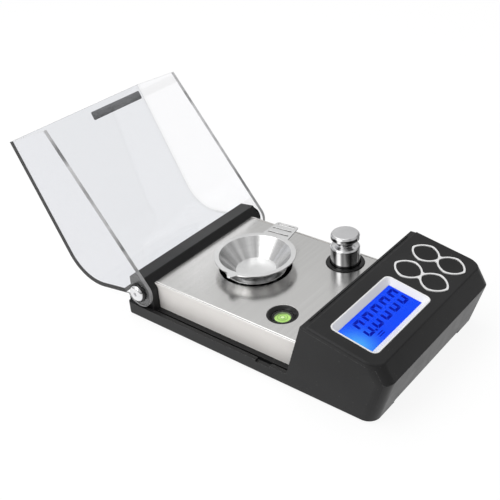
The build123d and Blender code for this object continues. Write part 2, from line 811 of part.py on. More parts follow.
# Clear lid, drawn shut and then swung open
panel_front_z = ledge_z + bead_height + lid_panel_clearance + lid_wall / math.cos(slope)
lid_front_low = (console_rear(hinge_z - arm_radius) + lid_front_gap, hinge_z - arm_radius)
lid_front_top = (console_rear(panel_front_z) + lid_front_gap, panel_front_z)
lid_rear_angle = 180 - lid_rear_slope
rear_normal = math.radians(90 - lid_rear_slope)
rear_point = (
    hinge_y + lid_rear_reach * math.cos(rear_normal),
    hinge_z + lid_rear_reach * math.sin(rear_normal),
)
lid_corner = meet(lid_front_top, top_slope, rear_point, lid_rear_angle)
rear_edge_z = hinge_z + lid_rear_edge_height
rear_edge = meet(rear_point, lid_rear_angle, (0, rear_edge_z), 0)
side_back = meet(rear_point, lid_rear_angle, (0, hinge_z), 0)
open_axis = Axis((0, hinge_y, hinge_z), (-1, 0, 0))
with BuildPart() as lid_closed:
    # Side walls with a round arm end
    with BuildSketch(Plane.YZ.offset(-lid_width / 2)):
        with BuildLine():
            Polyline(
                lid_front_low,
                lid_front_top,
                lid_corner,
                side_back,
                (hinge_y, hinge_z),
                (hinge_y, hinge_z - arm_radius),
                close=True,
            )
        outline_face = make_face()
        bend = outline_face.vertices().sort_by_distance(lid_corner)[0]
        fillet(bend, lid_bend_radius)
        with Locations((hinge_y, hinge_z)):
            Circle(arm_radius)
    extrude(amount=lid_width)
    # Room inside: everything under the panel and in front of the rear wall
    inner_front = (
        lid_front_top[0] - lid_wall,
        lid_front_top[1] - lid_wall * math.tan(slope) - lid_wall / math.cos(slope),
    )
    inner_rear_point = (
        rear_point[0] - lid_wall * math.cos(rear_normal),
        rear_point[1] - lid_wall * math.sin(rear_normal),
    )
    lid_inner_corner = meet(inner_front, top_slope, inner_rear_point, lid_rear_angle)
    inner_low = meet(inner_rear_point, lid_rear_angle, (0, lid_front_low[1] - cut_over), 0)
    with BuildSketch(Plane.YZ.offset(-lid_width / 2 + lid_wall)):
        with BuildLine():
            Polyline(
                inner_front,
                lid_inner_corner,
                inner_low,
                (inner_front[0], inner_low[1]),
                close=True,
            )
        inside_face = make_face()
        bend = inside_face.vertices().sort_by_distance(lid_inner_corner)[0]
        fillet(bend, lid_bend_radius - lid_wall)
    extrude(amount=lid_width - 2 * lid_wall, mode=Mode.SUBTRACT)
    # The rear wall stops above the hinge block
    with BuildSketch(Plane.YZ.offset(-lid_width / 2 + lid_wall)):
        with Locations((side_back[0], (rear_edge_z + lid_front_low[1] - cut_over) / 2)):
            Rectangle(4 * arm_radius, rear_edge_z - lid_front_low[1] + cut_over)
    extrude(amount=lid_width - 2 * lid_wall, mode=Mode.SUBTRACT)
    # Bearing holes
    with BuildSketch(Plane.YZ.offset(-lid_width / 2 - cut_over)):
        with Locations((hinge_y, hinge_z)):
            Circle(stub_radius + stub_play)
    extrude(amount=lid_width + 2 * cut_over, mode=Mode.SUBTRACT)

lid = lid_closed.part.rotate(open_axis, lid_open_angle)

# Small label on the lid's outside, near its front edge
label_plane_shut = Plane(
    origin=(lid_width / 2 - label_right_margin - label_length / 2, lid_front_top[0], lid_front_top[1]),
    x_dir=(1, 0, 0),
    z_dir=top_normal,
)
with BuildPart() as label_shut:
    with BuildSketch(label_plane_shut):
        with Locations((0, label_front_margin + label_width / 2)):
            RectangleRounded(label_length, label_width, label_corner)
    extrude(amount=label_thickness)
lid_label = label_shut.part.rotate(open_axis, lid_open_angle)

# Weighing platform, a shallow dish, and the post that carries it
platform_rim_z = plate_top - platform_rim_drop
platform_floor = platform_rim_z - platform_dish_depth
platform_under = platform_floor - platform_thickness
with BuildPart() as weighing_platform:
    with BuildSketch(Plane.XY.offset(platform_under)):
        with Locations((platform_x, platform_y)):
            Circle(platform_radius)
    extrude(amount=platform_rim_z - platform_under)
    with BuildSketch(Plane.XY.offset(platform_floor)):
        with Locations((platform_x, platform_y)):
            Circle(platform_radius - platform_rim_width)
    extrude(amount=platform_dish_depth, mode=Mode.SUBTRACT)
    under_edge = weighing_platform.faces().sort_by(Axis.Z)[0].edges()
    fillet(under_edge, platform_rim_width / 2)
    rim = weighing_platform.faces().sort_by(Axis.Z)[-1].edges()
    fillet(rim, platform_rim_width * 0.35)

with BuildPart() as platform_post:
    with BuildSketch(Plane.XY.offset(platform_under)):
        with Locations((platform_x, platform_y)):
            Circle(post_flange_radius)
    extrude(amount=-post_flange_thickness)
    with BuildSketch(Plane.XY.offset(platform_under - post_flange_thickness)):
        with Locations((platform_x, platform_y)):
            Circle(post_radius)
    extrude(amount=-(platform_under - post_flange_thickness - cell_top - platform_travel - touch_gap))

# Load cell: a bar with the two joined holes that let it bend, fixed at one end
cell_middle_x = (cell_fixed_x + cell_pedestal_length + cell_free_x - 2 * post_radius) / 2
with BuildPart() as load_cell:
    with BuildSketch(Plane.XY.offset(cell_bottom)):
        with Locations(((cell_fixed_x + cell_free_x) / 2, platform_y)):
            Rectangle(cell_length, cell_width)
    extrude(amount=cell_height)
    with BuildSketch(Plane.XZ.offset(-(platform_y + cell_width))):
        with Locations((cell_middle_x, cell_bottom + cell_height / 2)):
            SlotCenterToCenter(cell_hole_pitch, cell_slot_width)
        for side in (-1, 1):
            with Locations((cell_middle_x + side * cell_hole_pitch / 2, cell_bottom + cell_height / 2)):
                Circle(cell_hole_radius)
    extrude(amount=2 * cell_width, mode=Mode.SUBTRACT)
    with BuildSketch(Plane.XY.offset(cell_bottom)):
        with Locations(*cell_screw_points):
            Circle(cell_screw_radius + seat_gap)
    extrude(amount=cell_height, mode=Mode.SUBTRACT)

with BuildPart() as load_cell_screws:
    with BuildSketch(Plane.XY.offset(cell_top)):
        with Locations(*cell_screw_points):
            Circle(cell_screw_radius)
    extrude(amount=-(cell_height + cell_pedestal_height + floor_thickness / 2 - seat_gap))
    with BuildSketch(Plane.XY.offset(cell_top)):
        with Locations(*cell_screw_points):
            Circle(cell_screw_head_radius)
    extrude(amount=cell_screw_head)

# Flat cable from the load cell along the floor and up to the main board
cable_wall_y = battery_bay_y + bay_half_depth + bay_wall
cable_rise_y = cable_wall_y + cable_from_wall
board_under = board_top + board_thickness
board_touch = top_plane.from_local_coords((0, -board_rear_margin - cable_width, -board_under))
cable_edge_y = platform_y - cell_width / 2 - cable_thickness / 2
cable_z = floor_z + cable_lift
with BuildPart() as sensor_cable:
    with BuildSketch(Plane.YZ.offset(cable_x - cable_width / 2)):
        with BuildLine():
            Polyline(
                (cable_edge_y, cell_bottom + cable_grip),
                (cable_edge_y, cable_z),
                (cable_rise_y, cable_z),
                (cable_rise_y, board_touch.Z - cable_from_wall),
                (board_touch.Y, board_touch.Z - cable_thickness),
            )
        trace(line_width=cable_thickness)
    extrude(amount=cable_width)

# Weighing pan: pressed sheet bowl with a flat rim, a pouring lip and a slotted tab
pan_z = platform_floor + pan_seat_gap
pan_top = pan_z + pan_height
pan_wall_radius = pan_rim_radius - pan_flange
with BuildPart() as pan_straight:
    with BuildSketch(Plane(origin=(platform_x, platform_y, pan_z), x_dir=(1, 0, 0), z_dir=(0, -1, 0))):
        with BuildLine():
            Polyline(
                (0, 0),
                (pan_base_radius, 0),
                (pan_wall_radius, pan_height - pan_sheet),
                (pan_rim_radius, pan_height - pan_sheet),
                (pan_rim_radius, pan_height),
                (pan_wall_radius - pan_sheet * 0.6, pan_height),
                (pan_base_radius - pan_sheet * 0.6, pan_sheet),
                (0, pan_sheet),
                close=True,
            )
        make_face()
    revolve(axis=Axis((platform_x, platform_y, 0), (0, 0, 1)))
    spout_root_x = platform_x - pan_rim_radius + pan_root_overlap
    spout_tip_x = platform_x - pan_rim_radius - pan_spout_reach
    tab_root_x = platform_x + pan_rim_radius - pan_root_overlap
    tab_tip_x = platform_x + pan_rim_radius + pan_tab_reach
    with BuildSketch(Plane.XY.offset(pan_top - pan_sheet)):
        with BuildLine():
            Polyline(
                (spout_root_x, platform_y - pan_spout_width / 2),
                (spout_tip_x, platform_y - pan_spout_tip / 2),
                (spout_tip_x, platform_y + pan_spout_tip / 2),
                (spout_root_x, platform_y + pan_spout_width / 2),
                close=True,
            )
        make_face()
    extrude(amount=pan_sheet)
    with BuildSketch(Plane.XY.offset(pan_top - pan_sheet)) as tab:
        with BuildLine():
            Polyline(
                (tab_root_x, platform_y - pan_tab_width / 2),
                (tab_tip_x, platform_y - pan_tab_tip_width / 2),
                (tab_tip_x, platform_y + pan_tab_tip_width / 2),
                (tab_root_x, platform_y + pan_tab_width / 2),
                close=True,
            )
        make_face()
        fillet(tab.vertices().sort_by(Axis.X)[-2:], pan_tab_corner)
        for i in range(pan_slot_count):
            slot_from_rim = pan_slot_start + i * pan_slot_pitch
            taper = (pan_tab_width - pan_tab_tip_width) * slot_from_rim / pan_tab_reach
            with Locations((platform_x + pan_rim_radius + slot_from_rim, platform_y)):
                SlotOverall(
                    pan_tab_width - taper - 2 * pan_slot_end, pan_slot_width, rotation=90, mode=Mode.SUBTRACT
                )
    extrude(amount=pan_sheet)
weighing_pan = pan_straight.part.rotate(Axis((platform_x, platform_y, 0), (0, 0, 1)), pan_turn)

# Calibration weight: body, neck and knob turned from one piece
pocket_top = plate_top + pocket_rim_rise
pocket_floor = plate_top - pocket_depth
weight_z = pocket_floor + fluid_gap
shoulder_z = weight_body_height + weight_shoulder_height
groove_z = shoulder_z + weight_groove_width / 4
knob_z = groove_z + weight_neck_height
knob_side_z = knob_z + weight_knob_flare
knob_edge_z = weight_total_height - weight_knob_edge
with BuildPart() as calibration_weight:
    with BuildSketch(Plane(origin=(weight_x, weight_y, weight_z), x_dir=(1, 0, 0), z_dir=(0, -1, 0))):
        with BuildLine():
            Polyline(
                (0, 0),
                (weight_radius - weight_foot_edge, 0),
                (weight_radius, weight_foot_edge),
                (weight_radius, weight_body_height),
                (weight_radius - weight_shoulder_width, shoulder_z),
                (weight_neck_radius + weight_groove_width / 2, groove_z),
                (weight_neck_radius, groove_z + weight_groove_width / 4),
                (weight_neck_radius, knob_z),
                (weight_knob_radius, knob_side_z),
                (weight_knob_radius, knob_edge_z),
                (weight_knob_radius - weight_knob_edge, weight_total_height),
                (0, weight_total_height),
                close=True,
            )
        make_face()
    revolve(axis=Axis((weight_x, weight_y, 0), (0, 0, 1)))

with BuildPart() as weight_pocket:
    with BuildSketch(Plane.XY.offset(floor_z)):
        with Locations((weight_x, weight_y)):
            Circle(pocket_radius)
    extrude(amount=pocket_top - floor_z)
    rim = weight_pocket.faces().sort_by(Axis.Z)[-1].edges()
    fillet(rim, pocket_rim_radius)
    with BuildSketch(Plane.XY.offset(pocket_floor)):
        with Locations((weight_x, weight_y)):
            Circle(weight_radius + pocket_play)
    extrude(amount=pocket_top - pocket_floor + cut_over, mode=Mode.SUBTRACT)
    with BuildSketch(Plane.XY.offset(floor_z)):
        with Locations((weight_x, weight_y)):
            Circle(pocket_radius - insert_wall)
    extrude(amount=pocket_floor - insert_wall - floor_z, mode=Mode.SUBTRACT)

# Bubble level: holder, clear vial and its green fluid
vial_top = plate_top - vial_sink
vial_floor = vial_top - vial_height
with BuildPart() as bubble_holder:
    with BuildSketch(Plane.XY.offset(floor_z)):
        with Locations((bubble_x, bubble_y)):
            Circle(bubble_holder_radius)
    extrude(amount=plate_top - floor_z)
    with BuildSketch(Plane.XY.offset(vial_floor)):
        with Locations((bubble_x, bubble_y)):
            Circle(vial_radius + seat_gap)
    extrude(amount=plate_top - vial_floor + cut_over, mode=Mode.SUBTRACT)
    with BuildSketch(Plane.XY.offset(floor_z)):
        with Locations((bubble_x, bubble_y)):
            Circle(bubble_holder_radius - insert_wall)
    extrude(amount=vial_floor - insert_wall - floor_z, mode=Mode.SUBTRACT)
    mouth = bubble_holder.faces().sort_by(Axis.Z)[-1].edges().sort_by(SortBy.RADIUS)[0]
    chamfer(mouth, bubble_bevel_width, bubble_bevel_depth)

with BuildPart() as bubble_vial:
    with BuildSketch(Plane.XY.offset(vial_floor)):
        with Locations((bubble_x, bubble_y)):
            Circle(vial_radius)
    extrude(amount=vial_height)
    with BuildSketch(Plane.XY.offset(vial_floor + vial_cap)):
        with Locations((bubble_x, bubble_y)):
            Circle(vial_radius - vial_wall)
    extrude(amount=vial_height - 2 * vial_cap, mode=Mode.SUBTRACT)

with BuildPart() as bubble_fluid:
    with BuildSketch(Plane.XY.offset(vial_floor + vial_cap + fluid_gap)):
        with Locations((bubble_x, bubble_y)):
            Circle(vial_radius - vial_wall - fluid_gap)
    extrude(amount=vial_height - 2 * (vial_cap + fluid_gap))

# Display bezel with sloping inner walls
with BuildPart() as lcd_bezel:
    with BuildSketch(top_plane.offset(-bezel_recess)):
        with Locations((bezel_x, -bezel_from_rear)):
            RectangleRounded(bezel_length, bezel_depth, bezel_corner)
    extrude(amount=bezel_recess + bezel_rise)
    with BuildSketch(top_plane.offset(-bezel_recess + bezel_lip)):
        with Locations((bezel_x, -bezel_from_rear)):
            RectangleRounded(window_length, window_depth, window_corner)
    with BuildSketch(top_plane.offset(bezel_rise)):
        with Locations((bezel_x, -bezel_from_rear)):
            RectangleRounded(
                bezel_length - 2 * bezel_rim_width,
                bezel_depth - 2 * bezel_rim_width,
                bezel_corner - bezel_rim_width,
            )
    loft(mode=Mode.SUBTRACT)
    with BuildSketch(top_plane.offset(-bezel_recess)):
        with Locations((bezel_x, -bezel_from_rear)):
            RectangleRounded(window_length, window_depth, window_corner)
    extrude(amount=bezel_lip, mode=Mode.SUBTRACT)

with BuildPart() as lcd_window:
    with BuildSketch(top_plane.offset(-window_top)):
        with Locations((bezel_x, -bezel_from_rear)):
            RectangleRounded(bezel_length, bezel_depth, bezel_corner)
    extrude(amount=-window_thickness)

glass_length = bezel_length - 2 * glass_side_inset
glass_depth = bezel_depth - 2 * glass_end_inset
with BuildPart() as lcd_glass:
    with BuildSketch(top_plane.offset(-glass_top)):
        with Locations((bezel_x, -bezel_from_rear)):
            Rectangle(glass_length, glass_depth)
    extrude(amount=-glass_thickness)

backlight_depth = glass_depth - 2 * (zebra_width + zebra_gap)
with BuildPart() as lcd_backlight:
    with BuildSketch(top_plane.offset(-backlight_top)):
        with Locations((bezel_x, -bezel_from_rear)):
            Rectangle(glass_length, backlight_depth)
    extrude(amount=-backlight_thickness)

zebra_from_rear = bezel_from_rear + glass_depth / 2 - zebra_width / 2
with BuildPart() as lcd_zebra_strip:
    with BuildSketch(top_plane.offset(-backlight_top)):
        with Locations((bezel_x, -zebra_from_rear)):
            Rectangle(glass_length - 2 * zebra_side_inset, zebra_width)
    extrude(amount=-(board_top - backlight_top))

# Silver trims around the keys
trims = {}
for name, column in zip(("key_trim_left", "key_trim_right"), key_columns):
    with BuildPart() as trim:
        with BuildSketch(top_plane.offset(-cover_wall)):
            add(trim_outline(column, 0))
        extrude(amount=cover_wall + trim_rise)
        with BuildSketch(top_plane.offset(-cover_wall)):
            add(trim_outline(column, trim_flange))
        extrude(amount=-(trim_flange_depth - cover_wall))
        with BuildSketch(top_plane.offset(-trim_flange_depth - cut_over)):
            for row in key_rows:
                add(key_outline(column, row, key_play))
        extrude(amount=trim_flange_depth + trim_rise + 2 * cut_over, mode=Mode.SUBTRACT)
    trims[name] = trim

# Four keys, each with a retaining flange under its trim
key_names = (
    ("key_rear_left", key_columns[0], key_rows[0]),
    ("key_rear_right", key_columns[1], key_rows[0]),
    ("key_front_left", key_columns[0], key_rows[1]),
    ("key_front_right", key_columns[1], key_rows[1]),
)
keys = {}
for name, column, row in key_names:
    with BuildPart() as key:
        with BuildSketch(top_plane.offset(-key_bottom)):
            add(key_outline(column, row, 0))
        extrude(amount=key_bottom + key_rise)
        crown = key.faces().sort_by(Axis.Z)[-1].edges()
        fillet(crown, key_edge_radius)
        with BuildSketch(top_plane.offset(-key_bottom)):
            add(key_outline(column, row, key_flange))
        extrude(amount=key_flange_thickness)
    keys[name] = key

# Tact switches under the keys
with BuildPart() as key_switches:
    with BuildSketch(top_plane.offset(-board_top)):
        for column in key_columns:
            with Locations(*[(column, row) for row in key_rows]):
                Rectangle(switch_size, switch_size)
    extrude(amount=switch_body_height)
    with BuildSketch(top_plane.offset(-board_top + switch_body_height)):
        for column in key_columns:
            with Locations(*[(column, row) for row in key_rows]):
                Circle(plunger_radius)
    extrude(amount=board_top - switch_body_height - key_bottom - key_travel - plunger_gap)

# Main board and its screws
board_length = top_length - board_rear_margin - board_front_margin
board_centre = -(board_rear_margin + board_length / 2)
with BuildPart() as main_board:
    with BuildSketch(top_plane.offset(-board_top)):
        with Locations((0, board_centre)):
            Rectangle(board_width, board_length)
        with Locations(*board_boss_points):
            Circle(board_screw_radius + seat_gap, mode=Mode.SUBTRACT)
    extrude(amount=-board_thickness)
    with BuildSketch(top_plane.offset(-board_top - board_thickness)):
        with Locations((chip_x, board_centre)):
            Rectangle(chip_size, chip_size)
        with Locations((small_chip_x, board_centre - small_chip_forward)):
            Rectangle(small_chip_length, small_chip_depth)
    extrude(amount=-chip_height)

with BuildPart() as board_screws:
    with BuildSketch(top_plane.offset(-board_top - board_thickness)):
        with Locations(*board_boss_points):
            Circle(board_screw_radius)
    extrude(amount=board_screw_length - seat_gap)
    with BuildSketch(top_plane.offset(-board_top - board_thickness)):
        with Locations(*board_boss_points):
            Circle(board_boss_radius)
    extrude(amount=-board_screw_head)

# Two batteries end to end with their contacts
batteries = {}
for name, side in (("battery_front", -1), ("battery_rear", 1)):
    axis_y = battery_bay_y + side * battery_pitch / 2
    with BuildPart() as battery:
        with BuildSketch(Plane.YZ.offset(-battery_length / 2)):
            with Locations((axis_y, battery_axis_z)):
                Circle(cell_battery_radius)
        extrude(amount=battery_length - terminal_height)
        with BuildSketch(Plane.YZ.offset(battery_length / 2 - terminal_height)):
            with Locations((axis_y, battery_axis_z)):
                Circle(terminal_radius)
        extrude(amount=terminal_height)
    batteries[name] = battery

with BuildPart() as battery_contacts:
    for end in (-1, 1):
        with BuildSketch(Plane.YZ.offset(end * bay_half_length)):
            with Locations((battery_bay_y, battery_axis_z)):
                Rectangle(battery_pitch + contact_height, contact_height)
        extrude(amount=-end * contact_thickness)

spring_room = bay_half_length - contact_thickness - battery_length / 2
with BuildPart() as battery_springs:
    for side in (-1, 1):
        axis_y = battery_bay_y + side * battery_pitch / 2
        with BuildSketch(Plane.YZ.offset(-bay_half_length + contact_thickness)):
            with Locations((axis_y, battery_axis_z)):
                Circle(spring_radius)
                Circle(spring_radius - spring_wire, mode=Mode.SUBTRACT)
        extrude(amount=spring_room)

# Battery door, a plate that slides out at the front edge
door_front_y = front_y + bottom_edge_radius
with BuildPart() as battery_door:
    with BuildSketch(Plane.XY.offset(base_z)):
        with Locations((0, (door_front_y + door_rear_y) / 2)):
            Rectangle(door_width, door_rear_y - door_front_y)
    extrude(amount=door_thickness)
    with BuildSketch(Plane.XY.offset(tongue_z)):
        with Locations((0, (door_front_y + door_rear_y) / 2)):
            Rectangle(door_width + 2 * door_tongue, door_rear_y - door_front_y - 2 * door_tongue_end)
    extrude(amount=door_tongue_thickness)
    with BuildSketch(Plane.XY.offset(base_z)):
        with Locations(*[(0, door_front_y + grip_from_front + i * grip_pitch) for i in range(grip_count)]):
            Rectangle(grip_length, grip_width)
    extrude(amount=grip_depth, mode=Mode.SUBTRACT)

# Rubber feet
with BuildPart() as rubber_feet:
    with BuildSketch(Plane.XY):
        for x in (-foot_x, foot_x):
            with Locations((x, foot_front_y), (x, foot_rear_y)):
                Circle(foot_radius)
    extrude(amount=foot_height + foot_recess)

# Case screws, driven up from below
with BuildPart() as case_screws:
    with BuildSketch(Plane.XY.offset(base_z + case_screw_head)):
        with Locations(*screw_points):
            Circle(case_screw_head_radius)
    extrude(amount=seat_gap - case_screw_head)
    with BuildSketch(Plane.XY.offset(base_z + case_screw_head)):
        with Locations(*screw_points):
            Circle(case_screw_radius - screw_play)
    extrude(amount=case_screw_length - case_screw_end_gap)

# Labels and files
named = {
    "bottom_shell": bottom_shell.part,
    "console_cover": console_cover.part,
    "plate_cover": plate_cover.part,
    "hinge_block": hinge_block.part,
    "hinge_washers": hinge_washers.part,
    "hinge_screws": hinge_screws.part,
    "lid": lid,
    "lid_label": lid_label,
    "weighing_platform": weighing_platform.part,
    "platform_post": platform_post.part,
    "load_cell": load_cell.part,
    "load_cell_screws": load_cell_screws.part,
    "sensor_cable": sensor_cable.part,
    "weighing_pan": weighing_pan,
    "calibration_weight": calibration_weight.part,
    "weight_pocket": weight_pocket.part,
    "bubble_holder": bubble_holder.part,
    "bubble_vial": bubble_vial.part,
    "bubble_fluid": bubble_fluid.part,
    "lcd_bezel": lcd_bezel.part,
    "lcd_window": lcd_window.part,
    "lcd_glass": lcd_glass.part,
    "lcd_backlight": lcd_backlight.part,
    "lcd_zebra_strip": lcd_zebra_strip.part,
    "key_switches": key_switches.part,
    "main_board": main_board.part,
    "board_screws": board_screws.part,
    "battery_contacts": battery_contacts.part,
    "battery_springs": battery_springs.part,
    "battery_door": battery_door.part,
    "rubber_feet": rubber_feet.part,
    "case_screws": case_screws.part,
}
for group in (trims, keys, batteries):
    for name, builder in group.items():
        named[name] = builder.part
low_y = min(solid.bounding_box().min.Y for solid in named.values())
high_y = max(solid.bounding_box().max.Y for solid in named.values())
middle_y = (low_y + high_y) / 2
for name, solid in named.items():
    placed = solid.moved(Location((0, -middle_y, 0)))
    placed.label = name
    export_step(placed, "parts/" + name + ".step")
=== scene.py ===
import json
import math

import bmesh
import bpy
from mathutils import Matrix, Vector


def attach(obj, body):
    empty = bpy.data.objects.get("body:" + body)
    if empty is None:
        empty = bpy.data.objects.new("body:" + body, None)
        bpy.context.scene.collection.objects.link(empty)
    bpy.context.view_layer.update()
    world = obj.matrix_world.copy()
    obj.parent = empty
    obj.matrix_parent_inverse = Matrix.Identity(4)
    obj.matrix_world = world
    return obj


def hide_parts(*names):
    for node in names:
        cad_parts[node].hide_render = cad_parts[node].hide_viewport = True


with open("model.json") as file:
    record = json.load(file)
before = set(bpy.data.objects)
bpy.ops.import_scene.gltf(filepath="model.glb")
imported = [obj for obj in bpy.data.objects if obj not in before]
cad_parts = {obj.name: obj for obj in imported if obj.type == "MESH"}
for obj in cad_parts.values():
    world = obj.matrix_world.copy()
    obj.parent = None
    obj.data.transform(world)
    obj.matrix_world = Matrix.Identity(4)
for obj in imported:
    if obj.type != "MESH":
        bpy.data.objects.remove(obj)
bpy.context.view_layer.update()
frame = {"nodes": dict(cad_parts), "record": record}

nodes = frame["nodes"]
bodies = frame["record"]["behaviour"]["bodies"]
nodeBody = {node: body for body, members in bodies.items() for node in members}
mm = 0.001
scene = bpy.context.scene
scene.view_settings.view_transform = "Standard"
print("frame loaded:", len(nodes), "nodes")


# ---- camera
cameraLook = {
    "place": (-232.4, -205.954, 215.75), "azimuth": -49.02, "elevation": 31.8, "roll": -4.38,
    "lens": 60.7, "sensor": 36, "near": 0.01,
}


def makeCamera(look):
    azimuth, elevation, roll = (math.radians(look[key]) for key in ("azimuth", "elevation", "roll"))
    back = Vector((
        math.sin(azimuth) * math.cos(elevation),
        -math.cos(azimuth) * math.cos(elevation),
        math.sin(elevation),
    ))
    right = Vector((0, 0, 1)).cross(back).normalized()
    up = back.cross(right)
    turnedRight = math.cos(roll) * right + math.sin(roll) * up
    turnedUp = math.cos(roll) * up - math.sin(roll) * right
    data = bpy.data.cameras.new("photoCamera")
    data.sensor_width = look["sensor"]
    data.lens = look["lens"]
    data.clip_start = look["near"]
    camera = bpy.data.objects.new("photoCamera", data)
    scene.collection.objects.link(camera)
    turn = Matrix((turnedRight, turnedUp, back)).transposed().to_4x4()
    camera.matrix_world = Matrix.Translation(Vector(look["place"]) * mm) @ turn
    scene.camera = camera


makeCamera(cameraLook)
print("camera set")


# ---- shader helpers
vectorKind, floatKind = "NodeSocketVector", "NodeSocketFloat"
noiseLow, noiseHigh = 0.3, 0.7  # what plain noise really spans


def newGroup(name, inputs, outputs):
    tree = bpy.data.node_groups.new(name, "ShaderNodeTree")
    for label, kind, default in inputs:
        socket = tree.interface.new_socket(label, in_out="INPUT", socket_type=kind)
        if default is not None:
            socket.default_value = default
    for label in outputs:
        tree.interface.new_socket(label, in_out="OUTPUT", socket_type=floatKind)
    return tree, tree.nodes.new("NodeGroupInput"), tree.nodes.new("NodeGroupOutput")


def addNode(tree, kind, settings=None, values=None):
    node = tree.nodes.new(kind)
    for key, value in (settings or {}).items():
        setattr(node, key, value)
    for key, value in (values or {}).items():
        node.inputs[key].default_value = value
    return node


def useGroup(tree, group, values=None):
    return addNode(tree, "ShaderNodeGroup", {"node_tree": group}, values)


def rangeOf(tree, value, low, high, fromLow=noiseLow, fromHigh=noiseHigh):
    spread = {"From Min": fromLow, "From Max": fromHigh, "To Min": low, "To Max": high}
    node = addNode(tree, "ShaderNodeMapRange", None, spread)
    tree.links.new(value, node.inputs["Value"])
    return node.outputs["Result"]


def mixColours(tree, mask, low, high):
    mix = addNode(tree, "ShaderNodeMix", {"data_type": "RGBA"})
    mix.inputs["A"].default_value = (*low, 1) if isinstance(low, tuple) else (0, 0, 0, 1)
    mix.inputs["B"].default_value = (*high, 1)
    if not isinstance(low, tuple):
        tree.links.new(low, mix.inputs["A"])
    tree.links.new(mask, mix.inputs["Factor"])
    return mix.outputs["Result"]


def bumpOf(tree, shader, height, strength, distance):
    bump = addNode(tree, "ShaderNodeBump", None, {"Strength": strength, "Distance": distance})
    tree.links.new(height, bump.inputs["Height"])
    tree.links.new(bump.outputs["Normal"], shader.inputs["Normal"])


edgeWearAndHighlightLook = {
    "radius": 0.0004, "samples": 4, "turned": (0.995, 0.86),
    "breakup": 900.0, "detail": 4.0, "patches": (0.35, 0.7),
}


def makeEdgeWearAndHighlight(look):
    # how far a rounded normal leaves the true one marks the edges, broken up by noise; they take wear and, on
    # the case, a painted highlight
    tree, source, target = newGroup("edgeWearAndHighlight", [
        ("Vector", vectorKind, None), ("Radius", floatKind, look["radius"]),
        ("Breakup", floatKind, look["breakup"]),
    ], ["Mask"])
    link = tree.links.new
    bevel = addNode(tree, "ShaderNodeBevel", {"samples": look["samples"]})
    geometry = addNode(tree, "ShaderNodeNewGeometry")
    dot = addNode(tree, "ShaderNodeVectorMath", {"operation": "DOT_PRODUCT"})
    noise = addNode(tree, "ShaderNodeTexNoise", None, {"Detail": look["detail"]})
    product = addNode(tree, "ShaderNodeMath", {"operation": "MULTIPLY"})
    link(source.outputs["Radius"], bevel.inputs["Radius"])
    link(bevel.outputs["Normal"], dot.inputs[0])
    link(geometry.outputs["Normal"], dot.inputs[1])
    link(source.outputs["Vector"], noise.inputs["Vector"])
    link(source.outputs["Breakup"], noise.inputs["Scale"])
    link(rangeOf(tree, dot.outputs["Value"], 0, 1, *look["turned"]), product.inputs[0])
    link(rangeOf(tree, noise.outputs["Fac"], 0, 1, *look["patches"]), product.inputs[1])
    link(product.outputs["Value"], target.inputs["Mask"])
    return tree


grainLook = {
    "grain": 3500.0, "grainDetail": 3.0, "grainRough": 0.6, "cellShare": 0.5,
    "cloud": 45.0, "cloudDetail": 5.0, "cloudRough": 0.55,
}


def makeMouldedGrain(look):
    # fine spark-eroded grain of moulded plastic, and slow changes of tone
    tree, source, target = newGroup("mouldedGrain", [
        ("Vector", vectorKind, None), ("Grain", floatKind, look["grain"]),
        ("Cloud", floatKind, look["cloud"]),
    ], ["Height", "Tone"])
    link = tree.links.new
    grainValues = {"Detail": look["grainDetail"], "Roughness": look["grainRough"]}
    cloudValues = {"Detail": look["cloudDetail"], "Roughness": look["cloudRough"]}
    grain = addNode(tree, "ShaderNodeTexNoise", None, grainValues)
    cells = addNode(tree, "ShaderNodeTexVoronoi", {"feature": "SMOOTH_F1"})
    both = addNode(tree, "ShaderNodeMath", {"operation": "MULTIPLY_ADD"}, {1: look["cellShare"]})
    cloud = addNode(tree, "ShaderNodeTexNoise", None, cloudValues)
    for node, label in ((grain, "Grain"), (cells, "Grain"), (cloud, "Cloud")):
        link(source.outputs["Vector"], node.inputs["Vector"])
        link(source.outputs[label], node.inputs["Scale"])
    link(cells.outputs["Distance"], both.inputs[0])
    link(grain.outputs["Fac"], both.inputs[2])
    link(both.outputs["Value"], target.inputs["Height"])
    link(cloud.outputs["Fac"], target.inputs["Tone"])
    return tree


brushLook = {"along": (60.0, 9000.0, 9000.0), "fine": (1.0, 2.0), "broad": (0.12, 3.0)}


def makeBrushedLines(look):
    # long thin scratches of a brushing wheel, all one way; fine and broad are a scale and a detail
    tree, source, target = newGroup("brushedLines", [
        ("Vector", vectorKind, None), ("Along", vectorKind, look["along"]),
    ], ["Height", "Streak"])
    link = tree.links.new
    mapping = addNode(tree, "ShaderNodeVectorMath", {"operation": "MULTIPLY"})
    link(source.outputs["Vector"], mapping.inputs[0])
    link(source.outputs["Along"], mapping.inputs[1])
    for key, label in (("fine", "Height"), ("broad", "Streak")):
        scale, detail = look[key]
        noise = addNode(tree, "ShaderNodeTexNoise", None, {"Scale": scale, "Detail": detail})
        link(mapping.outputs["Vector"], noise.inputs["Vector"])
        link(noise.outputs["Fac"], target.inputs[label])
    return tree


handlingLook = {
    "smear": 70.0, "smearDetail": 6.0, "smearRough": 0.65, "swirl": 1.2, "smears": (0.45, 0.75),
    "speck": 1400.0, "speckDetail": 1.0, "specks": (0.74, 0.8),
}


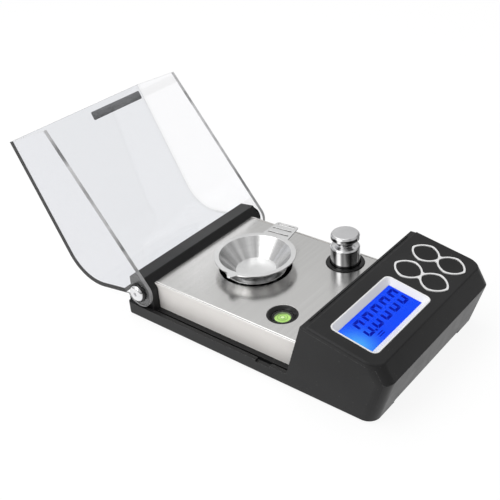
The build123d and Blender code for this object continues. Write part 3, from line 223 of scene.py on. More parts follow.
def makeHandling(look):
    # faint smears and dust specks from handling
    tree, source, target = newGroup("handling", [
        ("Vector", vectorKind, None), ("Smear", floatKind, look["smear"]),
        ("Speck", floatKind, look["speck"]),
    ], ["Smears", "Specks"])
    link = tree.links.new
    smear = addNode(tree, "ShaderNodeTexNoise", None, {
        "Detail": look["smearDetail"], "Roughness": look["smearRough"], "Distortion": look["swirl"],
    })
    speck = addNode(tree, "ShaderNodeTexNoise", None, {"Detail": look["speckDetail"]})
    for node, label, span in ((smear, "Smear", look["smears"]), (speck, "Speck", look["specks"])):
        link(source.outputs["Vector"], node.inputs["Vector"])
        link(source.outputs[label], node.inputs["Scale"])
        link(rangeOf(tree, node.outputs["Fac"], 0, 1, *span), target.inputs[label + "s"])
    return tree


paintedReflectionLook = {"centre": (0.0, 0.0, 0.0), "wedges": 2.4, "detail": 2.0, "rough": 0.45, "span": (0.36, 0.62)}


def makePaintedReflectionWedges(look):
    # painted reflection: bright and dark wedges round an upright axis, like the streaked reflections on spun
    # sheet metal
    tree, source, target = newGroup("paintedReflectionWedges", [
        ("Vector", vectorKind, None), ("Centre", vectorKind, look["centre"]),
        ("Wedges", floatKind, look["wedges"]),
    ], ["Mask"])
    link = tree.links.new
    offset = addNode(tree, "ShaderNodeVectorMath", {"operation": "SUBTRACT"})
    level = addNode(tree, "ShaderNodeVectorMath", {"operation": "MULTIPLY"}, {1: (1.0, 1.0, 0.0)})
    unit = addNode(tree, "ShaderNodeVectorMath", {"operation": "NORMALIZE"})
    wedges = addNode(tree, "ShaderNodeTexNoise", None, {"Detail": look["detail"], "Roughness": look["rough"]})
    link(source.outputs["Vector"], offset.inputs[0])
    link(source.outputs["Centre"], offset.inputs[1])
    link(offset.outputs["Vector"], level.inputs[0])
    link(level.outputs["Vector"], unit.inputs[0])
    link(unit.outputs["Vector"], wedges.inputs["Vector"])
    link(source.outputs["Wedges"], wedges.inputs["Scale"])
    link(rangeOf(tree, wedges.outputs["Fac"], 0, 1, *look["span"]), target.inputs["Mask"])
    return tree


edgeWearAndHighlight = makeEdgeWearAndHighlight(edgeWearAndHighlightLook)
mouldedGrain = makeMouldedGrain(grainLook)
brushedLines = makeBrushedLines(brushLook)
handling = makeHandling(handlingLook)
paintedReflectionWedges = makePaintedReflectionWedges(paintedReflectionLook)
print("shader groups built")


def startMaterial(name, constants):
    material = bpy.data.materials.new(name)
    material.use_nodes = True
    tree = material.node_tree
    tree.nodes.clear()
    output = tree.nodes.new("ShaderNodeOutputMaterial")
    shader = tree.nodes.new("ShaderNodeBsdfPrincipled")
    coords = tree.nodes.new("ShaderNodeTexCoord")
    for key, value in constants.items():
        shader.inputs[key].default_value = value
    tree.links.new(shader.outputs["BSDF"], output.inputs["Surface"])
    return material, tree, shader, coords.outputs["Object"]


plasticFinish = {"cloud": 40.0, "dust": 0.25, "polish": 0.07, "bumpDepth": 0.00003}  # shared by all plastics


def makeMouldedPlastic(name, look):
    material, tree, shader, coords = startMaterial(name, {"Specular IOR Level": look["gloss"]})
    link = tree.links.new
    grain = useGroup(tree, mouldedGrain, {"Grain": look["grain"], "Cloud": plasticFinish["cloud"]})
    wearAndHighlight = useGroup(tree, edgeWearAndHighlight, {"Radius": look["wearAndHighlightRadius"]})
    marks = useGroup(tree, handling)
    for group in (grain, wearAndHighlight, marks):
        link(coords, group.inputs["Vector"])
    toned = mixColours(tree, rangeOf(tree, grain.outputs["Tone"], 0, 1), look["dark"], look["light"])
    # marked edges take the edge colour: wear, and on the case partly a painted highlight
    wornAndHighlit = mixColours(tree, rangeOf(tree, wearAndHighlight.outputs["Mask"], 0, look["wearAndHighlight"], 0, 1), toned, look["edge"])
    dust = rangeOf(tree, marks.outputs["Specks"], 0, plasticFinish["dust"], 0, 1)
    link(mixColours(tree, dust, wornAndHighlit, look["edge"]), shader.inputs["Base Color"])
    polished = look["rough"] - plasticFinish["polish"]
    link(rangeOf(tree, marks.outputs["Smears"], look["rough"], polished, 0, 1), shader.inputs["Roughness"])
    bumpOf(tree, shader, grain.outputs["Height"], look["bump"], plasticFinish["bumpDepth"])
    return material


metalFinish = {  # shared by all metals
    "wearAndHighlightRadius": 0.0003, "wearAndHighlight": 0.5, "smear": 55.0, "dull": 0.05, "bumpDepth": 0.00001,
    "upright": (0.3, 0.97),
}


def steepness(tree):
    # 1 on upright faces, 0 on level ones
    geometry = addNode(tree, "ShaderNodeNewGeometry")
    parts = addNode(tree, "ShaderNodeSeparateXYZ")
    size = addNode(tree, "ShaderNodeMath", {"operation": "ABSOLUTE"})
    tree.links.new(geometry.outputs["True Normal"], parts.inputs["Vector"])
    tree.links.new(parts.outputs["Z"], size.inputs[0])
    return rangeOf(tree, size.outputs["Value"], 1, 0, *metalFinish["upright"])


def makeBrushedMetal(name, look):
    # rough and metallic are given for level faces first, then for upright ones
    material, tree, shader, coords = startMaterial(name, {"Anisotropic": look["anisotropy"]})
    link = tree.links.new
    lines = useGroup(tree, brushedLines, {"Along": look["along"]})
    wearAndHighlight = useGroup(tree, edgeWearAndHighlight, {"Radius": metalFinish["wearAndHighlightRadius"]})
    marks = useGroup(tree, handling, {"Smear": metalFinish["smear"]})
    for group in (lines, wearAndHighlight, marks):
        link(coords, group.inputs["Vector"])
    steep = steepness(tree)
    colour = mixColours(tree, rangeOf(tree, lines.outputs["Streak"], 0, 1), look["dark"], look["light"])
    # painted reflection: wedges of the shade colour on upright faces, round the given centre
    if "paintedReflection" in look:
        paintedReflection = useGroup(tree, paintedReflectionWedges, {"Centre": look["paintedReflection"], "Wedges": look["wedges"]})
        share = addNode(tree, "ShaderNodeMath", {"operation": "MULTIPLY"})
        link(coords, paintedReflection.inputs["Vector"])
        link(paintedReflection.outputs["Mask"], share.inputs[0])
        link(steep, share.inputs[1])
        colour = mixColours(tree, share.outputs["Value"], colour, look["shade"])
    # painted light: upright faces are tinted lighter, for the brightly lit flange
    if "paintedFlankLight" in look:
        colour = mixColours(tree, steep, colour, look["paintedFlankLight"])
    wornAndHighlit = rangeOf(tree, wearAndHighlight.outputs["Mask"], 0, metalFinish["wearAndHighlight"], 0, 1)
    link(mixColours(tree, wornAndHighlit, colour, look["edge"]), shader.inputs["Base Color"])
    link(rangeOf(tree, steep, *look["metallic"], 0, 1), shader.inputs["Metallic"])
    rough = addNode(tree, "ShaderNodeMath", {"operation": "MULTIPLY_ADD"}, {1: metalFinish["dull"]})
    link(marks.outputs["Smears"], rough.inputs[0])
    link(rangeOf(tree, steep, *look["rough"], 0, 1), rough.inputs[2])
    link(rough.outputs["Value"], shader.inputs["Roughness"])
    bumpOf(tree, shader, lines.outputs["Height"], look["bump"], metalFinish["bumpDepth"])
    return material


clearHaze = 0.04  # how much rougher a smear is


def makeClear(name, look):
    material, tree, shader, coords = startMaterial(name, {
        "Transmission Weight": 1.0, "IOR": look["ior"], "Roughness": 0.0, "Base Color": (*look["tint"], 1),
    })
    link = tree.links.new
    marks = useGroup(tree, handling, {"Smear": look["smear"]})
    link(coords, marks.inputs["Vector"])
    link(rangeOf(tree, marks.outputs["Smears"], 0, clearHaze, 0, 1), shader.inputs["Roughness"])
    # clear plastic throws almost no shadow
    output = tree.nodes["Material Output"]
    light = addNode(tree, "ShaderNodeLightPath")
    through = addNode(tree, "ShaderNodeBsdfTransparent", None, {"Color": (*look["shadow"], 1)})
    mix = addNode(tree, "ShaderNodeMixShader")
    link(light.outputs["Is Shadow Ray"], mix.inputs["Fac"])
    link(shader.outputs["BSDF"], mix.inputs[1])
    link(through.outputs["BSDF"], mix.inputs[2])
    link(mix.outputs["Shader"], output.inputs["Surface"])
    return material


def makeFilm(name, look):
    # thin clear window that only adds a little gloss and haze
    constants = {"Base Color": (*look["tint"], 1), "Specular IOR Level": look["gloss"]}
    material, tree, shader, coords = startMaterial(name, constants)
    marks = useGroup(tree, handling, {"Smear": look["smear"]})
    tree.links.new(coords, marks.inputs["Vector"])
    for key, label in (("rough", "Roughness"), ("haze", "Alpha")):
        tree.links.new(rangeOf(tree, marks.outputs["Smears"], *look[key], 0, 1), shader.inputs[label])
    return material


rimReflectionFinish = {  # shared by both rims of the lid
    "gloss": 0.5, "rough": 0.2, "runDetail": 3.0, "runRough": 0.6, "runSpan": (0.38, 0.62),
    "smear": 300.0, "pale": 0.3,
}


def makeRimWithPaintedReflection(name, look):
    # sawn rim of clear sheet, drawn opaque with a painted reflection: pale, with darker runs of painted room
    # reflection
    constants = {"Specular IOR Level": rimReflectionFinish["gloss"], "Roughness": rimReflectionFinish["rough"]}
    material, tree, shader, coords = startMaterial(name, constants)
    runValues = {"Scale": look["runs"], "Detail": rimReflectionFinish["runDetail"], "Roughness": rimReflectionFinish["runRough"]}
    run = addNode(tree, "ShaderNodeTexNoise", None, runValues)
    marks = useGroup(tree, handling, {"Smear": rimReflectionFinish["smear"]})
    for target in (run, marks):
        tree.links.new(coords, target.inputs["Vector"])
    runs = rangeOf(tree, run.outputs["Fac"], 0, 1, *rimReflectionFinish["runSpan"])
    tone = mixColours(tree, runs, look["dark"], look["light"])
    pale = rangeOf(tree, marks.outputs["Smears"], 0, rimReflectionFinish["pale"], 0, 1)
    tree.links.new(mixColours(tree, pale, tone, look["light"]), shader.inputs["Base Color"])
    return material


plasticLook = {
    "case": {
        # the case's light edge colour is partly wear, partly a painted edge highlight
        "dark": (0.014, 0.014, 0.0145), "light": (0.020, 0.020, 0.0205), "edge": (0.16, 0.16, 0.16),
        "rough": 0.4, "gloss": 0.24, "grain": 3600.0, "bump": 0.12, "wearAndHighlight": 0.5, "wearAndHighlightRadius": 0.0004,
    },
    "key": {
        "dark": (0.013, 0.013, 0.0135), "light": (0.022, 0.022, 0.022), "edge": (0.05, 0.05, 0.05),
        "rough": 0.5, "gloss": 0.2, "grain": 2600.0, "bump": 0.3, "wearAndHighlight": 0.3, "wearAndHighlightRadius": 0.0003,
    },
    "ring": {
        "dark": (0.004, 0.004, 0.004), "light": (0.008, 0.008, 0.008), "edge": (0.05, 0.05, 0.05),
        "rough": 0.2, "gloss": 0.35, "grain": 3000.0, "bump": 0.03, "wearAndHighlight": 0.25, "wearAndHighlightRadius": 0.0003,
    },
    "rubber": {
        "dark": (0.012, 0.012, 0.012), "light": (0.02, 0.02, 0.02), "edge": (0.06, 0.06, 0.06),
        "rough": 0.75, "gloss": 0.25, "grain": 2200.0, "bump": 0.35, "wearAndHighlight": 0.3, "wearAndHighlightRadius": 0.0003,
    },
    "bezel": {
        "dark": (0.86, 0.86, 0.865), "light": (0.92, 0.92, 0.925), "edge": (0.95, 0.95, 0.95),
        "rough": 0.34, "gloss": 0.5, "grain": 5200.0, "bump": 0.10, "wearAndHighlight": 0.6, "wearAndHighlightRadius": 0.0003,
    },
    "label": {
        "dark": (0.2, 0.2, 0.2), "light": (0.27, 0.27, 0.27), "edge": (0.3, 0.3, 0.3),
        "rough": 0.55, "gloss": 0.4, "grain": 2800.0, "bump": 0.1, "wearAndHighlight": 0.5, "wearAndHighlightRadius": 0.0002,
    },
}
metalLook = {
    "plate": {
        "dark": (0.70, 0.695, 0.685), "light": (0.735, 0.73, 0.72), "edge": (0.9, 0.9, 0.89),
        "rough": (0.22, 0.5), "metallic": (1.0, 0.0),
        "anisotropy": 0.3, "along": (70.0, 8000.0, 8000.0), "bump": 0.02,
        # painted light: upright faces tinted lighter than the top
        "paintedFlankLight": (0.93, 0.90, 0.87),
    },
    "pan": {
        "dark": (0.80, 0.80, 0.80), "light": (0.9, 0.9, 0.9), "edge": (0.95, 0.95, 0.95),
        "rough": (0.22, 0.2), "metallic": (0.8, 1.0),
        "anisotropy": 0.2, "along": (600.0, 600.0, 9000.0), "bump": 0.04,
        # painted reflection: dark wedges of the shade colour round the pan's axis
        "paintedReflection": (0.0005, -0.00625, 0.0), "wedges": 3.0, "shade": (0.12, 0.12, 0.12),
    },
    "weight": {
        "dark": (0.74, 0.74, 0.75), "light": (0.82, 0.82, 0.83), "edge": (0.92, 0.92, 0.92),
        "rough": (0.2, 0.08), "metallic": (1.0, 1.0),
        "anisotropy": 0.0, "along": (900.0, 900.0, 2500.0), "bump": 0.02,
        # painted reflection: dark upright bands of the shade colour round the weight's axis
        "paintedReflection": (0.0239, -0.03705, 0.0), "wedges": 2.0, "shade": (0.035, 0.035, 0.036),
    },
    "chrome": {
        "dark": (0.78, 0.78, 0.79), "light": (0.84, 0.84, 0.85), "edge": (0.92, 0.92, 0.92),
        "rough": (0.16, 0.06), "metallic": (1.0, 1.0),
        "anisotropy": 0.0, "along": (900.0, 900.0, 2500.0), "bump": 0.02,
    },
    "trim": {
        "dark": (0.84, 0.84, 0.84), "light": (0.93, 0.93, 0.93), "edge": (0.95, 0.95, 0.95),
        "rough": (0.25, 0.2), "metallic": (0.15, 0.3),
        "anisotropy": 0.0, "along": (1200.0, 1200.0, 1200.0), "bump": 0.03,
    },
    "screw": {
        "dark": (0.5, 0.5, 0.5), "light": (0.6, 0.6, 0.6), "edge": (0.8, 0.8, 0.8),
        "rough": (0.28, 0.28), "metallic": (1.0, 1.0),
        "anisotropy": 0.0, "along": (3000.0, 3000.0, 3000.0), "bump": 0.05,
    },
}
clearLook = {
    "lid": {"ior": 1.49, "tint": (0.80, 0.81, 0.835), "smear": 40.0, "shadow": (0.93, 0.93, 0.93)},
    "lidSide": {"ior": 1.49, "tint": (0.97, 0.97, 0.98), "smear": 40.0, "shadow": (0.93, 0.93, 0.93)},
    "vial": {"ior": 1.4, "tint": (0.92, 0.97, 0.88), "smear": 120.0, "shadow": (0.9, 0.95, 0.85)},
}
windowLook = {
    "tint": (0.75, 0.8, 0.9), "gloss": 0.4, "smear": 60.0, "rough": (0.05, 0.16), "haze": (0.004, 0.012),
}
# painted reflection of the room on the lid's rims: dark and light runs, darkest on the front rim
rimReflectionLook = {
    "side": {"dark": (0.26, 0.26, 0.265), "light": (0.74, 0.74, 0.75), "runs": 55.0},
    "front": {"dark": (0.05, 0.05, 0.052), "light": (0.4, 0.4, 0.41), "runs": 30.0},
}
plastics = {name: makeMouldedPlastic(name + "Plastic", look) for name, look in plasticLook.items()}
metals = {name: makeBrushedMetal(name + "Steel", look) for name, look in metalLook.items()}
clears = {name: makeClear(name + "Clear", look) for name, look in clearLook.items()}
clears["window"] = makeFilm("windowFilm", windowLook)
rims = {name: makeRimWithPaintedReflection(name + "Rim", look) for name, look in rimReflectionLook.items()}
print("materials built")


# ---- finished copies of the CAD nodes, with softened edges
dressLook = {"merge": 0.000002, "flat": 0.5, "segments": 2, "sharp": 32, "weight": 80}  # metres, degrees
sideWall, sideRim, frontRim = 1, 2, 3  # the lid's further material slots


def linked(name, mesh):
    obj = bpy.data.objects.new(name, mesh)
    scene.collection.objects.link(obj)
    return obj


def meshOf(bm, name):
    mesh = bpy.data.meshes.new(name)
    bm.to_mesh(mesh)
    bm.free()
    return mesh


def finishMesh(obj):
    bpy.context.view_layer.update()
    depsgraph = bpy.context.evaluated_depsgraph_get()
    mesh = bpy.data.meshes.new_from_object(obj.evaluated_get(depsgraph))
    obj.modifiers.clear()
    obj.data = mesh


def dressNode(nodeName, material, edge, swell):
    look = dressLook
    mesh = nodes[nodeName].data.copy()
    bm = bmesh.new()
    bm.from_mesh(mesh)
    bmesh.ops.remove_doubles(bm, verts=bm.verts, dist=look["merge"])
    if swell:
        bm.normal_update()
        for vert, normal in [(vert, vert.normal.copy()) for vert in bm.verts]:
            vert.co += normal * swell * mm
    bmesh.ops.dissolve_limit(bm, angle_limit=math.radians(look["flat"]), verts=bm.verts, edges=bm.edges)
    for face in bm.faces:
        face.smooth = True
        face.material_index = 0
    bm.to_mesh(mesh)
    bm.free()
    mesh.materials.clear()
    mesh.materials.append(material)
    if nodeName == "lid":
        markLidFaces(mesh)
    piece = linked(nodeName + "_finished", mesh)
    if edge:
        bevel = piece.modifiers.new("softEdge", "BEVEL")
        bevel.width = edge * mm
        bevel.segments = look["segments"]
        bevel.limit_method = "ANGLE"
        bevel.angle_limit = math.radians(look["sharp"])
        bevel.use_clamp_overlap = True
        if nodeName == "lid":
            bevel.material = sideRim
    weighted = piece.modifiers.new("evenNormals", "WEIGHTED_NORMAL")
    weighted.weight = look["weight"]
    weighted.keep_sharp = False
    finishMesh(piece)
    if nodeName == "lid":
        paintFrontReflection(piece.data)
    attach(piece, nodeBody[nodeName])
    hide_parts(nodeName)


lidLook = {
    "wall": 1.6, "half": 39.6, "rimSlack": 0.7, "sideways": 0.8, "hingeY": 26.15, "hingeZ": 14.2,
    "frontReach": 70.0, "frontBand": 2.2,
}


def markLidFaces(mesh):
    # side walls get their own clear finish, and the sawn rims their finishes with painted reflection
    for material in (clears["lidSide"], rims["side"], rims["front"]):
        mesh.materials.append(material)
    look = lidLook
    rimWidth = look["wall"] + look["rimSlack"]
    for face in mesh.polygons:
        corners = [mesh.vertices[i].co / mm for i in face.vertices]
        wide = max(c.x for c in corners) - min(c.x for c in corners)
        centre = face.center / mm
        reach = math.hypot(centre.y - look["hingeY"], centre.z - look["hingeZ"])
        longest = max((a - b).length for a, b in zip(corners, corners[1:] + corners[:1]))
        narrow = face.area / mm ** 2 / longest
        if wide > look["half"] and narrow < rimWidth and reach > look["frontReach"]:
            face.material_index = frontRim
        elif abs(face.normal.x) > look["sideways"]:
            face.material_index = sideWall
        elif wide < rimWidth and abs(centre.x) > look["half"] / 2:
            face.material_index = sideRim


def paintFrontReflection(mesh):
    # the free front edge, with its softened corners, gets the front rim finish: a painted dark reflection of
    # the room
    look = lidLook

    def reachOf(point):
        return math.hypot(point.y / mm - look["hingeY"], point.z / mm - look["hingeZ"])
    furthest = max(reachOf(vert.co) for vert in mesh.vertices)
    for face in mesh.polygons:
        xs = [mesh.vertices[i].co.x / mm for i in face.vertices]
        wide = max(xs) - min(xs) > look["half"]
        atFront = reachOf(face.center) > furthest - look["frontBand"]
        if wide and atFront and face.material_index == sideRim:
            face.material_index = frontRim


dressPlan = [  # node, finish, softened edge in mm
    ("bottom_shell", plastics["case"], 0.25),
    ("console_cover", plastics["case"], 0.25),
    ("hinge_block", plastics["case"], 0.2),
    ("plate_cover", metals["plate"], 0.08),
    ("lid", clears["lid"], 0.32),
    ("weighing_pan", metals["pan"], 0.1),
    ("weighing_platform", metals["pan"], 0.0),
    ("calibration_weight", metals["weight"], 0.15),
    ("weight_pocket", plastics["ring"], 0.1),
    ("bubble_holder", plastics["ring"], 0.1),
    ("lcd_bezel", plastics["bezel"], 0.1),
    ("key_trim_left", metals["trim"], 0.12),
    ("key_trim_right", metals["trim"], 0.12),
    ("key_rear_left", plastics["key"], 0.0),
    ("key_rear_right", plastics["key"], 0.0),
    ("key_front_left", plastics["key"], 0.0),
    ("key_front_right", plastics["key"], 0.0),
    ("hinge_screws", metals["chrome"], 0.05),
    ("hinge_washers", plastics["ring"], 0.1),
    ("battery_door", plastics["case"], 0.1),
]
trimSwell = 0.1
for nodeName, material, edge in dressPlan:
    dressNode(nodeName, material, edge, trimSwell if nodeName.startswith("key_trim") else 0.0)
print("shells, keys and metalwork dressed")


# ---- folded lip along the plate's top edge
foldLook = {  # proud, lap, tuck, dip and round are measured from the plate's edges and top
    "left": -33.3, "right": 33.3, "front": -58.0, "rear": 22.6, "top": 17.43, "low": 16.35,
    "proud": 0.16, "lap": 0.5, "tuck": 0.1, "dip": 0.03, "round": 0.16,
}


def makeFold(look, material):
    bm = bmesh.new()
    rings = []
    outline = (
        (-look["lap"], look["top"] - look["dip"]), (0.0, look["top"]),
        (look["proud"], look["top"] - look["round"]), (look["proud"], look["low"]),
        (-look["tuck"], look["low"]),
    )
    for out, z in outline:
        xs, ys = (look["left"] - out, look["right"] + out), (look["front"] - out, look["rear"] + out)
        corners = ((xs[0], ys[0]), (xs[1], ys[0]), (xs[1], ys[1]), (xs[0], ys[1]))
        rings.append([bm.verts.new((x * mm, y * mm, z * mm)) for x, y in corners])
    for low, high in zip(rings, rings[1:] + rings[:1]):
        for i in range(4):
            bm.faces.new((low[i], low[(i + 1) % 4], high[(i + 1) % 4], high[i]))
    bmesh.ops.recalc_face_normals(bm, faces=bm.faces)
    mesh = meshOf(bm, "plateFold")
    mesh.materials.append(material)
    fold = linked("plate_fold", mesh)
    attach(fold, nodeBody["plate_cover"])


makeFold(foldLook, metals["plate"])


def setNodeMaterial(nodeName, material):
    mesh = nodes[nodeName].data
    mesh.materials.clear()
    mesh.materials.append(material)


# ---- lit display
consoleTop = {"slope": 10.4, "rearY": -59.2998, "rearZ": 33.3932}  # sloping top, from its rear edge
slope = math.radians(consoleTop["slope"])
topOrigin = Vector((0, consoleTop["rearY"], consoleTop["rearZ"]))
topAlong = Vector((0, math.cos(slope), math.sin(slope)))
topNormal = Vector((0, -math.sin(slope), math.cos(slope)))


def onTop(x, y, depth):
    # a point given on the console's top: right, towards the hinge from its rear edge, and below it
    return (topOrigin + Vector((x, 0, 0)) + topAlong * y - topNormal * depth) * mm


displayLook = {
    "blue": (0.010, 0.078, 1.0), "glow": (0.12, 0.62, 1.0), "digit": (0.0, 0.001, 0.33), "strength": 0.95,
    "glowPlace": onTop(-32.0, -20.0, 3.0), "glowReach": 0.013, "glowFall": 1.7,
    "glass": (0.0, 0.004, 0.05), "glassRough": 0.25, "glassCloud": 300.0, "glassMottle": 0.06,
    "ink": (0.0, 0.001, 0.02), "inkRough": 0.4, "inkCloud": 900.0, "inkMottle": 0.15, "cloudDetail": 2.0,
}


def startGlowing(name, look, part):
    # a lit surface, and the noise that mottles it
    material, tree, shader, coords = startMaterial(name, {
        "Roughness": look[part + "Rough"], "Specular IOR Level": 0.0, "Emission Strength": look["strength"],
        "Base Color": (*look[part], 1),
    })
    cloudValues = {"Scale": look[part + "Cloud"], "Detail": look["cloudDetail"]}
    cloud = addNode(tree, "ShaderNodeTexNoise", None, cloudValues)
    tree.links.new(coords, cloud.inputs["Vector"])
    mottle = rangeOf(tree, cloud.outputs["Fac"], 0, look[part + "Mottle"])
    return material, tree, shader, coords, mottle


def makeDisplayGlass(look):
    material, tree, shader, coords, mottle = startGlowing("displayGlow", look, "glass")
    ball = addNode(tree, "ShaderNodeVectorMath", {"operation": "DISTANCE"}, {1: look["glowPlace"]})
    soft = addNode(tree, "ShaderNodeMath", {"operation": "POWER"}, {1: look["glowFall"]})
    tree.links.new(coords, ball.inputs[0])
    tree.links.new(rangeOf(tree, ball.outputs["Value"], 1, 0, 0.0, look["glowReach"]), soft.inputs[0])
    glow = mixColours(tree, soft.outputs["Value"], look["blue"], look["glow"])
    tree.links.new(mixColours(tree, mottle, glow, look["digit"]), shader.inputs["Emission Color"])
    return material


def makeDigitInk(look):
    material, tree, shader, coords, mottle = startGlowing("digitInk", look, "ink")
    tree.links.new(mixColours(tree, mottle, look["digit"], look["blue"]), shader.inputs["Emission Color"])
    return material


setNodeMaterial("lcd_glass", makeDisplayGlass(displayLook))
setNodeMaterial("lcd_window", clears["window"])

digitLook = {  # marks are the point and two bars, as x, y, width and height from the first digit's foot
    "count": 5, "pitch": 6.0, "height": 8.5, "width": 4.15, "stroke": 1.15, "gap": 0.25, "mitre": 0.4,
    "lean": 0.9, "left": -25.0, "foot": -21.25, "depth": 2.97, "thick": 0.02,
    "marks": ((4.55, -0.1, 0.95, 0.95), (3.0, -1.6, 3.4, 0.4), (2.8, -2.6, 3.4, 0.4)),
}


def addBar(bm, look, corners):
    # each stroke leans to the right towards the top of the digit
    leaning = [(x + look["lean"] * y / look["height"], y) for x, y in corners]
    bm.faces.new([bm.verts.new((x * mm, y * mm, 0)) for x, y in leaning])


def makeZeroPattern(look):
    # six strokes of a seven-segment zero, flat on the local plane
    bm = bmesh.new()
    w, h, s, g = look["width"], look["height"], look["stroke"], look["gap"]
    inner, middle = s + g * look["mitre"], g + s / 2
    addBar(bm, look, ((g, 0), (w - g, 0), (w - inner, s), (inner, s)))
    addBar(bm, look, ((inner, h - s), (w - inner, h - s), (w - g, h), (g, h)))
    strokes = (
        (g, inner, h / 2 - middle, h / 2 - middle),
        (h / 2 + middle, h / 2 + middle, h - inner, h - g),
    )
    for outerLow, innerLow, innerHigh, outerHigh in strokes:
        addBar(bm, look, ((0, outerLow), (s, innerLow), (s, innerHigh), (0, outerHigh)))
        addBar(bm, look, ((w, outerHigh), (w - s, innerHigh), (w - s, innerLow), (w, outerLow)))
    bmesh.ops.recalc_face_normals(bm, faces=bm.faces)
    for face in bm.faces:
        if face.normal.z < 0:
            face.normal_flip()
    return linked("zeroPattern", meshOf(bm, "zeroPattern"))


def geometryTree(name, inputs):
    tree = bpy.data.node_groups.new(name, "GeometryNodeTree")
    tree.interface.new_socket("Geometry", in_out="INPUT", socket_type="NodeSocketGeometry")
    for label, kind in inputs:
        tree.interface.new_socket(label, in_out="INPUT", socket_type=kind)
    tree.interface.new_socket("Geometry", in_out="OUTPUT", socket_type="NodeSocketGeometry")
    return tree, tree.nodes.new("NodeGroupInput"), tree.nodes.new("NodeGroupOutput")


def setInput(modifier, label, value):
    for item in modifier.node_group.interface.items_tree:
        if item.item_type == "SOCKET" and item.in_out == "INPUT" and item.name == label:
            modifier[item.identifier] = value


def makeRowTree():
    # copies of one flat pattern in a straight row, made thick
    tree, source, target = geometryTree("rowOfCopies", [
        ("Pattern", "NodeSocketObject"), ("Count", "NodeSocketInt"), ("Step", vectorKind),
        ("Thickness", floatKind), ("Finish", "NodeSocketMaterial"),
    ])
    link = tree.links.new
    line = addNode(tree, "GeometryNodeMeshLine", {"mode": "OFFSET"})
    info = addNode(tree, "GeometryNodeObjectInfo")
    copies = addNode(tree, "GeometryNodeInstanceOnPoints")
    real = addNode(tree, "GeometryNodeRealizeInstances")
    thick = addNode(tree, "GeometryNodeExtrudeMesh", {"mode": "FACES"}, {"Individual": False})
    finish = addNode(tree, "GeometryNodeSetMaterial")
    link(source.outputs["Count"], line.inputs["Count"])
    link(source.outputs["Step"], line.inputs["Offset"])
    link(source.outputs["Pattern"], info.inputs["Object"])
    link(line.outputs["Mesh"], copies.inputs["Points"])
    link(info.outputs["Geometry"], copies.inputs["Instance"])
    link(copies.outputs["Instances"], real.inputs["Geometry"])
    link(real.outputs["Geometry"], thick.inputs["Mesh"])
    link(source.outputs["Thickness"], thick.inputs["Offset Scale"])
    link(thick.outputs["Mesh"], finish.inputs["Geometry"])
    link(source.outputs["Finish"], finish.inputs["Material"])
    link(finish.outputs["Geometry"], target.inputs["Geometry"])
    return tree


def makeDigits(look, tree, finish):
    pattern = makeZeroPattern(look)
    digits = linked("display_digits", bpy.data.meshes.new("displayDigits"))
    modifier = digits.modifiers.new("row", "NODES")
    modifier.node_group = tree
    for label, value in (
        ("Pattern", pattern), ("Count", look["count"]), ("Step", (look["pitch"] * mm, 0, 0)),
        ("Thickness", look["thick"] * mm), ("Finish", finish),
    ):
        setInput(modifier, label, value)
    finishMesh(digits)
    bpy.data.objects.remove(pattern)
    bm = bmesh.new()
    bm.from_mesh(digits.data)
    for x, y, w, h in look["marks"]:
        low, size = Vector((x, y, 0)), Vector((w, h, look["thick"]))
        for vert in bmesh.ops.create_cube(bm, size=1.0)["verts"]:
            vert.co = (low + (vert.co + Vector((0.5, 0.5, 0.5))) * size) * mm
    turn = Matrix(((1, 0, 0), tuple(topAlong), tuple(topNormal))).transposed().to_4x4()
    bm.transform(Matrix.Translation(onTop(look["left"], look["foot"], look["depth"])) @ turn)
    bm.to_mesh(digits.data)
    bm.free()
    digits.data.materials.clear()
    digits.data.materials.append(finish)
    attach(digits, "base")


makeDigits(digitLook, makeRowTree(), makeDigitInk(displayLook))
print("display lit")


# ---- bubble level: a shallow green cup under the clear cap, with its marks and its bubble at the top
levelLook = {
    "centre": (-21.5, -37.1544), "radius": 3.48, "wall": 0.12, "low": 12.42, "floor": 14.85, "top": 15.57,
    "marks": ((1.95, 2.12), (0.86, 1.02)), "markDepth": 0.05, "bubble": 0.86, "dome": (0.7, 0.01),
    "steps": 48,
}
greenLook = {  # darkest and lightest colour, and a painted glow, though the level has no lamp
    "fluid": ((0.36, 0.60, 0.11), (0.46, 0.70, 0.17), 0.3),
    "wall": ((0.07, 0.10, 0.05), (0.14, 0.19, 0.09), 0.1),
    "mark": ((0.08, 0.16, 0.03), (0.13, 0.24, 0.05), 0.1),
    "bubble": ((0.55, 0.72, 0.32), (0.66, 0.80, 0.45), 0.25),
}
greenFinish = {"rough": 0.15, "gloss": 0.3, "cloud": 220.0, "detail": 2.0}


def makeGreen(name, low, high, glow):
    look = greenFinish
    constants = {"Roughness": look["rough"], "Specular IOR Level": look["gloss"], "Emission Strength": glow}
    material, tree, shader, coords = startMaterial(name, constants)
    cloud = addNode(tree, "ShaderNodeTexNoise", None, {"Scale": look["cloud"], "Detail": look["detail"]})
    tree.links.new(coords, cloud.inputs["Vector"])
    green = mixColours(tree, rangeOf(tree, cloud.outputs["Fac"], 0, 1), low, high)
    tree.links.new(green, shader.inputs["Base Color"])
    # painted light: the green also glows, though the level has no lamp
    tree.links.new(green, shader.inputs["Emission Color"])
    return material


greens = {name: makeGreen("level" + name.title(), *look) for name, look in greenLook.items()}
fluidSlot, wallSlot, markSlot, bubbleSlot = range(4)  # the order of greenLook


